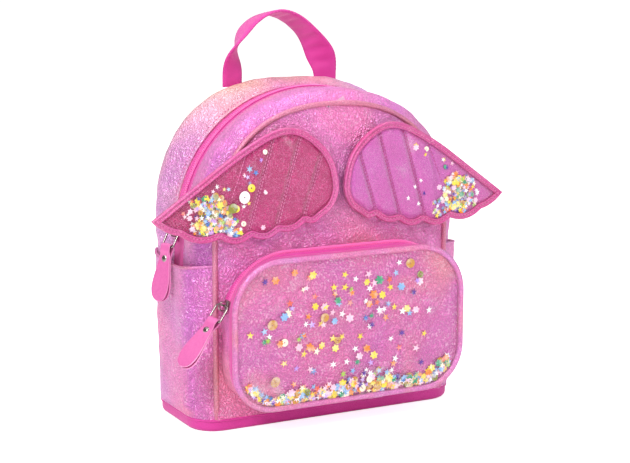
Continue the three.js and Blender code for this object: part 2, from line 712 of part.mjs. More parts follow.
function stripped(geometry) {
  geometry.deleteAttribute('normal');
  geometry.deleteAttribute('uv');
  return geometry;
}

// ---- sliders and pulls ----
const pocketSliderAngle = 14.5;

// Local axes: x along the zip, y across it, z out from the bag, origin on the zip.
function sliderSolid() {
  const halfLength = slider.length / 2;
  const halfWidth = (ring.width - 3 * ring.wire - slider.inRing) / 2;   // passes between the ring's sides
  const clear = zip.coil / 2 + 0.9;
  const high = clear + slider.plate;
  const loopTop = high + slider.loopHeight;
  const plates = toSolid(boxBetween([-halfLength, -halfWidth, clear], [halfLength, halfWidth, high]))
    .add(toSolid(boxBetween([-halfLength, -halfWidth, -high], [halfLength, halfWidth, -clear])))
    .add(toSolid(boxBetween([-1.8, -slider.post / 2, -clear - 0.1], [1.8, slider.post / 2, clear + 0.1])));
  const loop = toSolid(boxBetween([-4, -1, high - 0.1], [4, 1, loopTop]))
    .subtract(toSolid(boxBetween([-2.8, -3, high], [2.8, 3, loopTop - slider.loopBar])));
  return toGeometry(plates.add(loop));
}

// A flat wire ring with rounded corners in its own plane, hanging from the origin toward -y.
function ringGeometry() {
  const sections = [];
  const [halfX, halfY] = [ring.width / 2 - ring.corner, ring.length / 2 - ring.corner];
  for (let quarter = 0; quarter < 4; quarter += 1) {
    for (let i = 0; i <= 3; i += 1) {
      const turn = (quarter + i / 3) * 90 * degrees;
      const out = new THREE.Vector3(Math.cos(turn), Math.sin(turn), 0);
      const centre = new THREE.Vector3(
        halfX * (quarter === 0 || quarter === 3 ? 1 : -1) + ring.corner * out.x,
        halfY * (quarter < 2 ? 1 : -1) + ring.corner * out.y - ring.length / 2, 0);
      sections.push(roundSection(centre, new THREE.Vector3(-out.y, out.x, 0), out, ring.wire / 2, 6));
    }
  }
  return sweep(sections, true);
}

// A folded leather pull: narrow at the top, round and wide at the bottom, hole for the ring.
function tabGeometry() {
  const topHalf = ring.width / 2 - ring.wire / 2 - 0.7;
  const edge = new THREE.SplineCurve([
    [topHalf, 0], [topHalf + 0.5, -6], [6.6, -15], [8.8, -26], [9, -33], [6, -39.5], [0, -41.5],
  ].map(([x, y]) => new THREE.Vector2(x, (y * tab.length) / 44))).getPoints(12);
  const left = edge.map((p) => new THREE.Vector2(-p.x, p.y)).reverse();
  const shape = new THREE.Shape([...left, ...edge.slice(0, -1)]);
  const body = new THREE.ExtrudeGeometry(shape, { depth: tab.thick, bevelEnabled: false })
    .translate(0, 0, -tab.thick / 2);
  const bead = new THREE.CylinderGeometry(2.6, 2.6, 2 * topHalf, 10).rotateZ(Math.PI / 2);
  const hole = new THREE.CylinderGeometry(1.4, 1.4, 30, 10).rotateZ(Math.PI / 2);
  return toGeometry(toSolid(body).add(toSolid(bead)).subtract(toSolid(hole)));
}

// The rivet goes through the pull in a hole of its own.
const rivet = { y: -9, radius: 2.6, stem: 1.2 };

function rivetParts(pull) {
  const hole = new THREE.CylinderGeometry(rivet.stem + gap, rivet.stem + gap, 20, 10).rotateX(Math.PI / 2);
  const holed = toSolid(pull).subtract(toSolid(hole.translate(0, rivet.y, 0)));
  const face = tab.thick / 2 + gap;
  const profile = [
    [0, -face - 0.9], [rivet.radius * 0.7, -face - 0.8], [rivet.radius, -face], [rivet.stem, -face],
    [rivet.stem, face], [rivet.radius, face], [rivet.radius * 0.7, face + 0.8], [0, face + 0.9],
  ].map(([x, y]) => new THREE.Vector2(x, y));
  const body = new THREE.LatheGeometry(profile, 12).rotateX(Math.PI / 2).translate(0, rivet.y, 0);
  return [toGeometry(holed), toGeometry(toSolid(body))];
}

// Places x, y and z axes of a part at a point.
function placed(geometry, origin, xAxis, yAxis) {
  const x = new THREE.Vector3(...xAxis).normalize();
  const y = new THREE.Vector3(...yAxis);
  y.addScaledVector(x, -x.dot(y)).normalize();
  const z = new THREE.Vector3().crossVectors(x, y);
  const frame = new THREE.Matrix4().makeBasis(x, y, z).setPosition(new THREE.Vector3(...origin));
  return geometry.clone().applyMatrix4(frame);
}

function makePull(prefix, { centre, radius, angle, y, across, ringDown, tabDown }) {
  const turn = angle * degrees;
  const out = [Math.cos(turn), 0, Math.sin(turn)];
  const along = [-Math.sin(turn), 0, Math.cos(turn)];
  const at = (r) => [centre.x + r * out[0], y, centre.z + r * out[2]];
  addPiece(`${prefix}_slider`, placed(sliderSolid(), at(radius), along, [0, -1, 0]), nickel);
  const loopMiddle = zip.coil / 2 + 0.9 + slider.plate + (slider.loopHeight - slider.loopBar) / 2;
  const ringTop = new THREE.Vector3(...at(radius + loopMiddle));
  const up = new THREE.Vector3(...ringDown).negate().normalize();
  const ringPlace = [ringTop.clone().addScaledVector(up, ring.wire / 2).toArray(), across, up.toArray()];
  addPiece(`${prefix}_pull_ring`, placed(ringGeometry(), ...ringPlace), nickel);
  const tabTop = ringTop.clone().addScaledVector(up, -ring.length + ring.wire / 2);
  const tabPlace = [tabTop.toArray(), across, new THREE.Vector3(...tabDown).negate().toArray()];
  const [pull, pin] = rivetParts(tabGeometry());
  addPiece(`${prefix}_pull_tab`, placed(pull, ...tabPlace), tabPink);
  addPiece(`${prefix}_pull_rivet`, placed(pin, ...tabPlace), nickel);
}

function makePulls() {
  makePull('main', {
    centre: { x: 0, z: archCentreZ },
    radius: archRadius,
    angle: mainSliderAngle,
    y: zip.y,
    across: [0.33, -0.944, 0],
    ringDown: [-0.5, -0.175, -0.85],
    tabDown: [-0.2, -0.07, -0.97],
  });
  makePull('pocket', {
    centre: { x: -(pocket.halfWidth - pocket.topRadius), z: pocket.top - pocket.topRadius },
    radius: pocket.topRadius,
    angle: 180 - pocketSliderAngle,
    y: pocketZipY,
    across: [0.3, -0.95, -0.12],
    ringDown: [-0.6, -0.1, -0.8],
    tabDown: [-0.66, -0.1, -0.75],
  });
}

makeBase();
makeSides();
makeSidePockets();
makePanels();
makeGussets();
makePiping();
makeMainZip();
makePocket();
makeWings();
makeHandle();
makeStraps();
makePulls();

export default model;
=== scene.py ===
import math
import random

import bmesh
import bpy
from mathutils import Matrix, Vector, noise


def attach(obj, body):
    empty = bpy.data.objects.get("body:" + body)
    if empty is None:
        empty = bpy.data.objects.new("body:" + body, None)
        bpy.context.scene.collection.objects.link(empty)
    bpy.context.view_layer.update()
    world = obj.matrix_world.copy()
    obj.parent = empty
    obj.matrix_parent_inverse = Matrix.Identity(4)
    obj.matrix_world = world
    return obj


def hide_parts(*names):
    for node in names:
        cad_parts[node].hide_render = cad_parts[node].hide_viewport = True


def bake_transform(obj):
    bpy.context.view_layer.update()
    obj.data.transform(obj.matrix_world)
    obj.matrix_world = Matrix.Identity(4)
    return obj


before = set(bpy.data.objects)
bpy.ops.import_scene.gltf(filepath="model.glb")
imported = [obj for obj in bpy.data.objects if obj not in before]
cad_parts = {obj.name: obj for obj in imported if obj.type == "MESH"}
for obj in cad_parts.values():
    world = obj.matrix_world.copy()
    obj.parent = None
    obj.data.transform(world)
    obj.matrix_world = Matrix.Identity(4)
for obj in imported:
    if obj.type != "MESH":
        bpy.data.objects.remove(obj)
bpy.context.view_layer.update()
mm = 0.001  # the shape settings below are in millimetres, the scene is in metres

print("stage: settings")
bag = {
    "radius": 107,        # the main zip's circle
    "centreZ": 144,       # middle of the arch
    "frontY": -45,
    "backY": 45,
    "baseHalf": 112,
    "baseHeight": 9,
    "baseCorner": 22,
    "foldZ": 139,
    "panelHalf": 98,
    "panelSwell": 7,
    "pipeRadius": 2,
    "zipY": -2,
    "fabric": 1.4,
}
# where the flap and the pocket lid bend, as two heights each
flapBend = {"start": (0, 0, 0.127), "end": (0, 0, 0.151)}
lidBend = {"start": (0, 0, 0.080), "end": (0, 0, 0.104)}


# small maths
def mix(a, b, share):
    return a + (b - a) * share


def clamp(value, low=0.0, high=1.0):
    return max(low, min(high, value))


def ease(value):
    value = clamp(value)
    return value * value * (3 - 2 * value)


def power(value, exponent):
    return math.copysign(abs(value) ** exponent, value)


def throughKnots(knots, share):
    # a smooth line through rows of [share, value, value, ...]
    after = next((i for i, k in enumerate(knots) if k[0] >= share), len(knots) - 1)
    after = max(1, after)
    rows = [knots[clamp(after + k, 0, len(knots) - 1)] for k in (-2, -1, 0, 1)]
    t = clamp((share - rows[1][0]) / (rows[2][0] - rows[1][0]))
    values = []
    for a, b, c, d in zip(*[row[1:] for row in rows]):
        values.append(0.5 * (2 * b + (c - a) * t + (2 * a - 5 * b + 4 * c - d) * t * t
                             + (3 * b - a - 3 * c + d) * t ** 3))
    return values


def curvePoints(knots, count):
    # evenly stepped points on a smooth curve through a few points
    rows = [[i / (len(knots) - 1), *k] for i, k in enumerate(knots)]
    fine = [Vector(throughKnots(rows, i / (count * 4))) for i in range(count * 4 + 1)]
    return evenPoints(fine, count)


def evenPoints(points, count):
    lengths = [0.0]
    for a, b in zip(points, points[1:]):
        lengths.append(lengths[-1] + (b - a).length)
    steps, k = [], 0
    for i in range(count + 1):
        want = lengths[-1] * i / count
        while k < len(points) - 2 and lengths[k + 1] < want:
            k += 1
        span = max(1e-9, lengths[k + 1] - lengths[k])
        steps.append(points[k].lerp(points[k + 1], clamp((want - lengths[k]) / span)))
    return steps


# modelling helpers
def clearSelection():
    if bpy.context.mode != "OBJECT":
        bpy.ops.object.mode_set(mode="OBJECT")
    bpy.ops.object.select_all(action="DESELECT")


def makeActive(piece):
    clearSelection()
    piece.select_set(True)
    bpy.context.view_layer.objects.active = piece


def applyModifiers(piece):
    makeActive(piece)
    for modifier in list(piece.modifiers):
        bpy.ops.object.modifier_apply(modifier=modifier.name)


def smoothShade(piece, angle=38):
    makeActive(piece)
    bpy.ops.object.shade_smooth_by_angle(angle=math.radians(angle))


def closeSeams(piece, fill=False, distance=1e-5, outside=False):
    makeActive(piece)
    bpy.ops.object.mode_set(mode="EDIT")
    bpy.ops.mesh.select_all(action="SELECT")
    bpy.ops.mesh.remove_doubles(threshold=distance)
    bpy.ops.mesh.dissolve_degenerate(threshold=1e-7)
    bpy.ops.mesh.select_all(action="SELECT")
    if fill:
        bpy.ops.mesh.fill_holes(sides=0)
        bpy.ops.mesh.select_all(action="SELECT")
    if fill or outside:
        bpy.ops.mesh.normals_make_consistent(inside=False)
    bpy.ops.object.mode_set(mode="OBJECT")


def faceAwayFrom(piece, core):
    # turns an open sheet so that its faces look away from a point inside
    centre = Vector(core) * mm
    total = sum((f.center - centre).dot(f.normal) * f.area for f in piece.data.polygons)
    if total < 0:
        makeActive(piece)
        bpy.ops.object.mode_set(mode="EDIT")
        bpy.ops.mesh.select_all(action="SELECT")
        bpy.ops.mesh.flip_normals()
        bpy.ops.object.mode_set(mode="OBJECT")


def thicken(piece, thickness, lining=None, offset=-1):
    wall = piece.modifiers.new("wall", "SOLIDIFY")
    wall.thickness = thickness * mm
    wall.offset = offset
    wall.use_even_offset = True
    if lining:
        piece.data.materials.append(lining)
        wall.material_offset = 1
        wall.material_offset_rim = 0
    applyModifiers(piece)


def gridPiece(name, columns, rows, place, material, core=None, wrap=False):
    # a flat grid laid onto a surface: place(u, v) gives millimetres for u and v from 0 to 1
    clearSelection()
    bpy.ops.mesh.primitive_grid_add(x_subdivisions=columns, y_subdivisions=rows, size=1)
    piece = bpy.context.object
    piece.name = name
    piece.data.name = name
    for vertex in piece.data.vertices:
        vertex.co = Vector(place(vertex.co.x + 0.5, vertex.co.y + 0.5)) * mm
    uvToLength(piece, place)
    piece.data.materials.append(material)
    if wrap:
        closeSeams(piece)
    if core is not None:
        faceAwayFrom(piece, core)
    return piece


def uvToLength(piece, place, samples=24):
    # the flat map in metres, so that a weave keeps its real size
    def length(point):
        points = [Vector(point(i / samples)) for i in range(samples + 1)]
        return sum((b - a).length for a, b in zip(points, points[1:])) * mm
    across = length(lambda t: place(t, 0.5))
    along = length(lambda t: place(0.5, t))
    for loop in piece.data.uv_layers.active.data:
        loop.uv = (loop.uv.x * across, loop.uv.y * along)


def sweptPiece(name, route, section, material, reference=(0, 1, 0), closed=False):
    # a section carried along a route; section(share) lists (outward, sideways) offsets
    count = len(section(0))
    last = len(route) - 1
    side = Vector(reference).normalized()

    def place(u, v):
        i = round(u * last)
        before = route[(i - 1) % last] if closed else route[max(0, i - 1)]
        after = route[(i + 1) % last] if closed else route[min(last, i + 1)]
        along = (after - before).normalized()
        out = side.cross(along).normalized()
        around = along.cross(out)
        a, b = section(i / last)[round(v * count) % count]
        return route[i] + out * a + around * b

    piece = gridPiece(name, last, count, place, material, wrap=True)
    if closed:
        closeSeams(piece, outside=True)
    else:
        closeSeams(piece, fill=True)
    return piece


def roundSection(radius, sides=10, flat=1.0):
    turns = [2 * math.pi * i / sides for i in range(sides)]
    ring = [(radius * math.cos(t), radius * flat * math.sin(t)) for t in turns]
    return lambda share: ring


def slabSection(width, thick, edge=0.35, crown=0.0):
    # a flat strap's section with soft edges, a little fuller in the middle
    half, high = width / 2, thick / 2
    top = [(high * 0.3, half), (high * 0.9, half - edge * high * 2)]
    for k in (0.6, 0.3, 0):
        top.append((high + crown * (1 - k * k), half * k))
    right = [(a, -b) for a, b in reversed(top[:-1])]
    upper = top + right
    lower = [(-a, b) for a, b in reversed(upper)]
    return lambda share: upper + lower


def crumple(piece, amount, scale, seed, keepEdges=None):
    # small uneven swells of the cloth, out along its own normals
    shift = Vector((seed * 3.7, seed * 1.9, seed * 5.3))
    normals = [v.normal.copy() for v in piece.data.vertices]
    for vertex, normal in zip(piece.data.vertices, normals):
        swell = noise.fractal(vertex.co * scale + shift, 0.9, 2.1, 3)
        keep = keepEdges(vertex.co / mm) if keepEdges else 1
        vertex.co += normal * swell * amount * mm * keep


def copiesAt(name, patterns, places, material, tints=None):
    # one small shape, modelled once, copied to many places and gathered into one piece
    gathered = bmesh.new()
    tintLayer = gathered.verts.layers.float_color.new("tint") if tints else None
    for i, place in enumerate(places):
        pattern = patterns[i % len(patterns)] if isinstance(patterns, list) else patterns
        first = len(gathered.verts)
        gathered.from_mesh(pattern)
        gathered.verts.ensure_lookup_table()
        for vertex in gathered.verts[first:]:
            vertex.co = place @ vertex.co
            if tints:
                vertex[tintLayer] = (*tints[i], 1)
    mesh = bpy.data.meshes.new(name)
    gathered.to_mesh(mesh)
    gathered.free()
    mesh.materials.append(material)
    piece = bpy.data.objects.new(name, mesh)
    bpy.context.scene.collection.objects.link(piece)
    smoothShade(piece)
    return piece


def patternMesh(name):
    # takes the active object's mesh as a pattern and removes the object
    piece = bpy.context.object
    mesh = piece.data
    mesh.name = name
    mesh.materials.clear()
    bpy.data.objects.remove(piece)
    return mesh


def axesAt(centre, along, out):
    # a place with its x along, its z out, in millimetres
    x = Vector(along).normalized()
    z = (Vector(out) - x * Vector(out).dot(x)).normalized()
    y = z.cross(x)
    turn = Matrix((x, y, z)).transposed().to_4x4()
    return Matrix.Translation(Vector(centre) * mm) @ turn


def slotFor(piece, name, *nodes):
    if nodes:
        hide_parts(*nodes)
    return piece

print("stage: finishes")


# node helpers
def addNode(tree, kind, x, y, **settings):
    node = tree.nodes.new(kind)
    node.location = (x, y)
    for key, value in settings.items():
        if key.startswith("in_"):
            node.inputs[key[3:].replace("_", " ")].default_value = value
        else:
            setattr(node, key, value)
    return node


def join(tree, fromNode, output, toNode, socket):
    tree.links.new(fromNode.outputs[output], toNode.inputs[socket])


def newGroup(name, inputs, outputs):
    group = bpy.data.node_groups.new(name, "ShaderNodeTree")
    kinds = {"value": "NodeSocketFloat", "colour": "NodeSocketColor", "vector": "NodeSocketVector"}
    for label, kind, value in inputs:
        socket = group.interface.new_socket(name=label, in_out="INPUT", socket_type=kinds[kind])
        if value is not None:
            socket.default_value = value
    for label, kind in outputs:
        group.interface.new_socket(name=label, in_out="OUTPUT", socket_type=kinds[kind])
    start = group.nodes.new("NodeGroupInput")
    start.location = (-900, 0)
    end = group.nodes.new("NodeGroupOutput")
    end.location = (900, 0)
    return group, start, end


def mixColour(tree, x, y, blend="MIX", share=0.5):
    node = addNode(tree, "ShaderNodeMix", x, y, data_type="RGBA", blend_type=blend)
    node.inputs["Factor"].default_value = share
    return node


def rampOf(tree, x, y, stops):
    node = addNode(tree, "ShaderNodeValToRGB", x, y)
    ramp = node.color_ramp
    while len(ramp.elements) < len(stops):
        ramp.elements.new(0.5)
    for element, (at, value) in zip(ramp.elements, stops):
        element.position = at
        element.color = (value, value, value, 1)
    return node


def colour(code):
    # a web colour as linear light
    parts = [int(code[i:i + 2], 16) / 255 for i in (0, 2, 4)]
    return (*[c / 12.92 if c <= 0.04045 else ((c + 0.055) / 1.055) ** 2.4 for c in parts], 1)


def makePearlGroup():
    # slow drifts of hue over the cloth, and a painted sheen: another hue on faces turned to the front left,
    # toward the key light
    group, start, end = newGroup("pearlDrift", [
        ("Position", "vector", None), ("Facing", "vector", None),
        ("Main", "colour", colour("e58cc6")), ("Drift", "colour", colour("c58be0")),
        ("Warm", "colour", colour("f0a39c")), ("Side", "colour", colour("b06fd6")),
        ("Drift Scale", "value", 16), ("Side Share", "value", 0.6)], [("Color", "colour")])
    slow = addNode(group, "ShaderNodeTexNoise", -650, 200, in_Detail=2, in_Distortion=0.8)
    warm = addNode(group, "ShaderNodeTexNoise", -650, -100, in_Detail=1, in_Distortion=0.5)
    moved = addNode(group, "ShaderNodeMapping", -820, -100, in_Location=(3.1, 7.7, 1.3))
    driftMask = rampOf(group, -450, 200, [(0.36, 0), (0.74, 1)])
    warmMask = rampOf(group, -450, -100, [(0.48, 0), (0.82, 1)])
    # painted sheen: faces turned toward the key light take the Side hue
    sheenFacing = addNode(group, "ShaderNodeVectorMath", -650, -400, operation="DOT_PRODUCT")
    sheenFacing.inputs[1].default_value = (-0.78, -0.62, 0.05)
    paintedSheenMask = addNode(group, "ShaderNodeMapRange", -450, -400, in_From_Min=0.8, in_From_Max=1.0)
    sideShare = addNode(group, "ShaderNodeMath", -250, -400, operation="MULTIPLY")
    first, second, third = (mixColour(group, x, 100) for x in (-150, 100, 350))
    for node in (slow, moved):
        join(group, start, "Position", node, "Vector")
    join(group, moved, "Vector", warm, "Vector")
    join(group, start, "Drift Scale", slow, "Scale")
    join(group, start, "Drift Scale", warm, "Scale")
    join(group, slow, "Fac", driftMask, "Fac")
    join(group, warm, "Fac", warmMask, "Fac")
    join(group, start, "Facing", sheenFacing, 0)
    join(group, sheenFacing, "Value", paintedSheenMask, "Value")
    join(group, paintedSheenMask, "Result", sideShare, 0)
    join(group, start, "Side Share", sideShare, 1)
    for node, mask, socket in ((first, driftMask, "Color"), (second, warmMask, "Color"),
                               (third, sideShare, "Value")):
        join(group, mask, socket, node, "Factor")
    join(group, start, "Main", first, "A")
    join(group, start, "Drift", first, "B")
    join(group, first, "Result", second, "A")
    join(group, start, "Warm", second, "B")
    join(group, second, "Result", third, "A")
    join(group, start, "Side", third, "B")
    join(group, third, "Result", end, "Color")
    return group


def makeFoilGroup():
    # crinkled metal film: fine creases, flakes lightened toward the Flake colour as painted glints, and
    # painted shade darkening the crease valleys
    group, start, end = newGroup("foilCrinkle", [
        ("Position", "vector", None), ("Base", "colour", colour("e58cc6")),
        ("Flake", "colour", colour("ffe3f6")), ("Flake Scale", "value", 1150),
        ("Flake Share", "value", 0.55), ("Crease Scale", "value", 430)],
        [("Color", "colour"), ("Roughness", "value"), ("Height", "value")])
    warp = addNode(group, "ShaderNodeTexNoise", -720, -200, in_Scale=60, in_Detail=3)
    bent = mixColour(group, -520, -200, "LINEAR_LIGHT", 0.012)
    crease = addNode(group, "ShaderNodeTexVoronoi", -330, -250, feature="DISTANCE_TO_EDGE")
    creaseMask = rampOf(group, -130, -250, [(0.0, 0), (0.3, 1)])
    fine = addNode(group, "ShaderNodeTexNoise", -330, -550, in_Scale=520, in_Detail=4)
    height = addNode(group, "ShaderNodeMath", 150, -350, operation="MULTIPLY_ADD")
    height.inputs[1].default_value = 0.55
    # painted glints: flake cells lightened toward the Flake colour
    glintFlake = addNode(group, "ShaderNodeTexVoronoi", -520, 300)
    glintFlakeMask = rampOf(group, -330, 300, [(0.55, 0), (0.95, 1)])
    patch = addNode(group, "ShaderNodeTexNoise", -520, 60, in_Scale=75, in_Detail=3)
    patchMask = rampOf(group, -330, 60, [(0.35, 0.25), (0.68, 1)])
    glintFlakeShare = addNode(group, "ShaderNodeMath", -80, 250, operation="MULTIPLY")
    strength = addNode(group, "ShaderNodeMath", 80, 250, operation="MULTIPLY")
    lit = mixColour(group, 280, 200)
    # painted shade: the colour darkened along the crease lines
    valleyShade = mixColour(group, 480, 200, "MULTIPLY", 0.6)
    shade = rampOf(group, 280, -50, [(0.0, 0.58), (0.6, 1)])
    rough = addNode(group, "ShaderNodeMapRange", 480, -250, in_To_Min=0.5, in_To_Max=0.22)
    for node in (warp, glintFlake, patch, fine):
        join(group, start, "Position", node, "Vector")
    join(group, start, "Position", bent, "A")
    join(group, warp, "Color", bent, "B")
    join(group, bent, "Result", crease, "Vector")
    join(group, start, "Crease Scale", crease, "Scale")
    join(group, crease, "Distance", creaseMask, "Fac")
    join(group, fine, "Fac", height, 0)
    join(group, creaseMask, "Color", height, 2)
    join(group, start, "Flake Scale", glintFlake, "Scale")
    join(group, glintFlake, "Color", glintFlakeMask, "Fac")
    join(group, patch, "Fac", patchMask, "Fac")
    join(group, glintFlakeMask, "Color", glintFlakeShare, 0)
    join(group, patchMask, "Color", glintFlakeShare, 1)
    join(group, glintFlakeShare, "Value", strength, 0)
    join(group, start, "Flake Share", strength, 1)
    join(group, strength, "Value", lit, "Factor")
    join(group, start, "Base", lit, "A")
    join(group, start, "Flake", lit, "B")
    join(group, creaseMask, "Color", shade, "Fac")
    join(group, lit, "Result", valleyShade, "A")
    join(group, shade, "Color", valleyShade, "B")
    join(group, strength, "Value", rough, "Value")
    join(group, valleyShade, "Result", end, "Color")
    join(group, rough, "Result", end, "Roughness")
    join(group, height, "Value", end, "Height")
    return group


def makeWeaveGroup():
    # over-and-under threads on the piece's own flat map
    group, start, end = newGroup("threadWeave", [
        ("Flat", "vector", None), ("Across", "value", 900), ("Along", "value", 900)],
        [("Mask", "value"), ("Height", "value")])
    warpWave = addNode(group, "ShaderNodeTexWave", -350, 150, bands_direction="X")
    weftWave = addNode(group, "ShaderNodeTexWave", -350, -150, bands_direction="Y")
    for node in (warpWave, weftWave):
        node.inputs["Distortion"].default_value = 0.6
        node.inputs["Detail"].default_value = 1
        join(group, start, "Flat", node, "Vector")
    join(group, start, "Across", warpWave, "Scale")
    join(group, start, "Along", weftWave, "Scale")
    both = addNode(group, "ShaderNodeMath", 0, 0, operation="MULTIPLY")
    join(group, warpWave, "Fac", both, 0)
    join(group, weftWave, "Fac", both, 1)
    mask = addNode(group, "ShaderNodeMapRange", 250, 100, in_To_Min=0.35)
    join(group, both, "Value", mask, "Value")
    join(group, mask, "Result", end, "Mask")
    join(group, both, "Value", end, "Height")
    return group


def makeGrainGroup():
    # small pebbles, darker between them in cloudy patches, for leather and moulded plastic
    group, start, end = newGroup("pebbleGrain", [
        ("Position", "vector", None), ("Scale", "value", 700)],
        [("Mask", "value"), ("Height", "value")])
    pebble = addNode(group, "ShaderNodeTexVoronoi", -350, 100, feature="SMOOTH_F1")
    cloud = addNode(group, "ShaderNodeTexNoise", -350, -200, in_Scale=90, in_Detail=5)
    join(group, start, "Position", pebble, "Vector")
    join(group, start, "Position", cloud, "Vector")
    join(group, start, "Scale", pebble, "Scale")
    blendMask = addNode(group, "ShaderNodeMath", 0, 0, operation="MULTIPLY")
    join(group, pebble, "Distance", blendMask, 0)
    join(group, cloud, "Fac", blendMask, 1)
    join(group, blendMask, "Value", end, "Mask")
    join(group, pebble, "Distance", end, "Height")
    return group


def makeWearGroup():
    # rubbed edges and corners
    group, start, end = newGroup("edgeWear", [("Sharpness", "value", 0.06)], [("Mask", "value")])
    shape = addNode(group, "ShaderNodeNewGeometry", -350, 0)
    edges = addNode(group, "ShaderNodeMapRange", 0, 0, in_From_Min=0.52)
    top = addNode(group, "ShaderNodeMath", -150, -150, operation="ADD")
    top.inputs[0].default_value = 0.53
    join(group, start, "Sharpness", top, 1)
    join(group, top, "Value", edges, "From Max")
    join(group, shape, "Pointiness", edges, "Value")
    join(group, edges, "Result", end, "Mask")
    return group


pearlDrift = makePearlGroup()
foilCrinkle = makeFoilGroup()
threadWeave = makeWeaveGroup()
pebbleGrain = makeGrainGroup()
edgeWear = makeWearGroup()


def startMaterial(name, **settings):
    material = bpy.data.materials.new(name)
    material.use_nodes = True
    tree = material.node_tree
    shader = tree.nodes["Principled BSDF"]
    for key, value in settings.items():
        shader.inputs[key.replace("_", " ")].default_value = value
    place = addNode(tree, "ShaderNodeTexCoord", -1300, 0)
    return material, tree, shader, place


def placeGroup(tree, group, x, y, **settings):
    node = addNode(tree, "ShaderNodeGroup", x, y, node_tree=group)
    for key, value in settings.items():
        node.inputs[key.replace("_", " ")].default_value = value
    return node


def addBump(tree, shader, source, output, strength, distance):
    bump = addNode(tree, "ShaderNodeBump", -200, -400)
    bump.inputs["Strength"].default_value = strength
    bump.inputs["Distance"].default_value = distance
    join(tree, source, output, bump, "Height")
    join(tree, bump, "Normal", shader, "Normal")
    return bump


def foilMaterial(name, look):
    material, tree, shader, place = startMaterial(
        name, Metallic=look["metal"], Sheen_Weight=0.1, Coat_Weight=look.get("coat", 0.22),
        Coat_Roughness=0.3)
    # the Side colour is a painted sheen hue for faces turned toward the key light
    pearl = placeGroup(tree, pearlDrift, -1000, 200, Main=colour(look["main"]), Drift=colour(look["drift"]),
                       Warm=colour(look["warm"]), Side=colour(look["side"]),
                       Drift_Scale=look.get("driftScale", 12), Side_Share=look.get("sideShare", 0.5))
    # the Flake colour is the colour of the painted glints
    foil = placeGroup(tree, foilCrinkle, -700, 100, Flake=colour(look.get("glintFlake", "ffdcf2")),
                      Flake_Scale=look.get("flakeScale", 950), Flake_Share=look.get("glintFlakeShare", 0.55),
                      Crease_Scale=look.get("creaseScale", 430))
    join(tree, place, "Object", pearl, "Position")
    join(tree, place, "Normal", pearl, "Facing")
    join(tree, place, "Object", foil, "Position")
    join(tree, pearl, "Color", foil, "Base")
    join(tree, foil, "Color", shader, "Base Color")
    join(tree, foil, "Roughness", shader, "Roughness")
    addBump(tree, shader, foil, "Height", look.get("bump", 0.7), 0.0008)
    return material


def clothMaterial(name, look):
    material, tree, shader, place = startMaterial(
        name, Roughness=look.get("rough", 0.62), Sheen_Weight=look.get("sheen", 0.3), Sheen_Roughness=0.4)
    weave = placeGroup(tree, threadWeave, -700, 0, Across=look["across"], Along=look["along"])
    join(tree, place, "UV", weave, "Flat")
    cloud = addNode(tree, "ShaderNodeTexNoise", -900, 300, in_Scale=35, in_Detail=3)
    join(tree, place, "Object", cloud, "Vector")
    tone = mixColour(tree, -600, 300)
    tone.inputs["A"].default_value = colour(look["dark"])
    tone.inputs["B"].default_value = colour(look["light"])
    join(tree, cloud, "Fac", tone, "Factor")
    shade = mixColour(tree, -350, 200, "MULTIPLY", look.get("contrast", 0.5))
    join(tree, tone, "Result", shade, "A")
    join(tree, weave, "Mask", shade, "B")
    join(tree, shade, "Result", shader, "Base Color")
    addBump(tree, shader, weave, "Height", look.get("bump", 0.5), 0.0003)
    return material


def grainMaterial(name, look):
    material, tree, shader, place = startMaterial(
        name, Metallic=look.get("metal", 0.0), Coat_Weight=look.get("coat", 0.0), Coat_Roughness=0.2)
    grain = placeGroup(tree, pebbleGrain, -900, 0, Scale=look["scale"])
    wear = placeGroup(tree, edgeWear, -900, 300, Sharpness=0.05)
    join(tree, place, "Object", grain, "Position")
    tone = mixColour(tree, -600, 200)
    tone.inputs["A"].default_value = colour(look["light"])
    tone.inputs["B"].default_value = colour(look["dark"])
    join(tree, grain, "Mask", tone, "Factor")
    rubbed = mixColour(tree, -350, 200)
    rubbed.inputs["B"].default_value = colour(look["rubbed"])
    join(tree, tone, "Result", rubbed, "A")
    join(tree, wear, "Mask", rubbed, "Factor")
    join(tree, rubbed, "Result", shader, "Base Color")
    rough = addNode(tree, "ShaderNodeMapRange", -350, -100,
                    in_To_Min=look["rough"] - 0.1, in_To_Max=look["rough"] + 0.15)
    join(tree, grain, "Mask", rough, "Value")
    join(tree, rough, "Result", shader, "Roughness")
    addBump(tree, shader, grain, "Height", look.get("bump", 0.3), look.get("depth", 0.0002))
    return material


# in these looks the side colour is a painted sheen hue for faces turned toward the key light
foilLook = {"main": "f585c4", "drift": "de8cda", "warm": "f4949c", "side": "bc5cc8", "metal": 0.62}
foilPink = foilMaterial("foilPink", foilLook)
foilRear = foilMaterial("foilRear", {
    **foilLook, "main": "f89cca", "drift": "e89aea", "warm": "ffdc94", "driftScale": 10, "glintFlakeShare": 0.75})
foilGusset = foilMaterial("foilGusset", {
    **foilLook, "main": "f57fc8", "drift": "dc8ae0", "warm": "f8a4b4", "glintFlakeShare": 0.45, "driftScale": 12})
foilPipe = foilMaterial("foilPipe", {
    **foilLook, "main": "e57fb8", "drift": "d98ad0", "warm": "e8968c", "side": "d070b8", "metal": 0.55,
    "glintFlakeShare": 0.4, "driftScale": 24, "creaseScale": 520, "bump": 0.3, "coat": 0.25})
salmonPipe = foilMaterial("salmonPipe", {
    "main": "dc7fa0", "drift": "cf7a9c", "warm": "e0988c", "side": "dd8aa4", "metal": 0.5,
    "glintFlakeShare": 0.35, "creaseScale": 520, "bump": 0.25, "coat": 0.2})
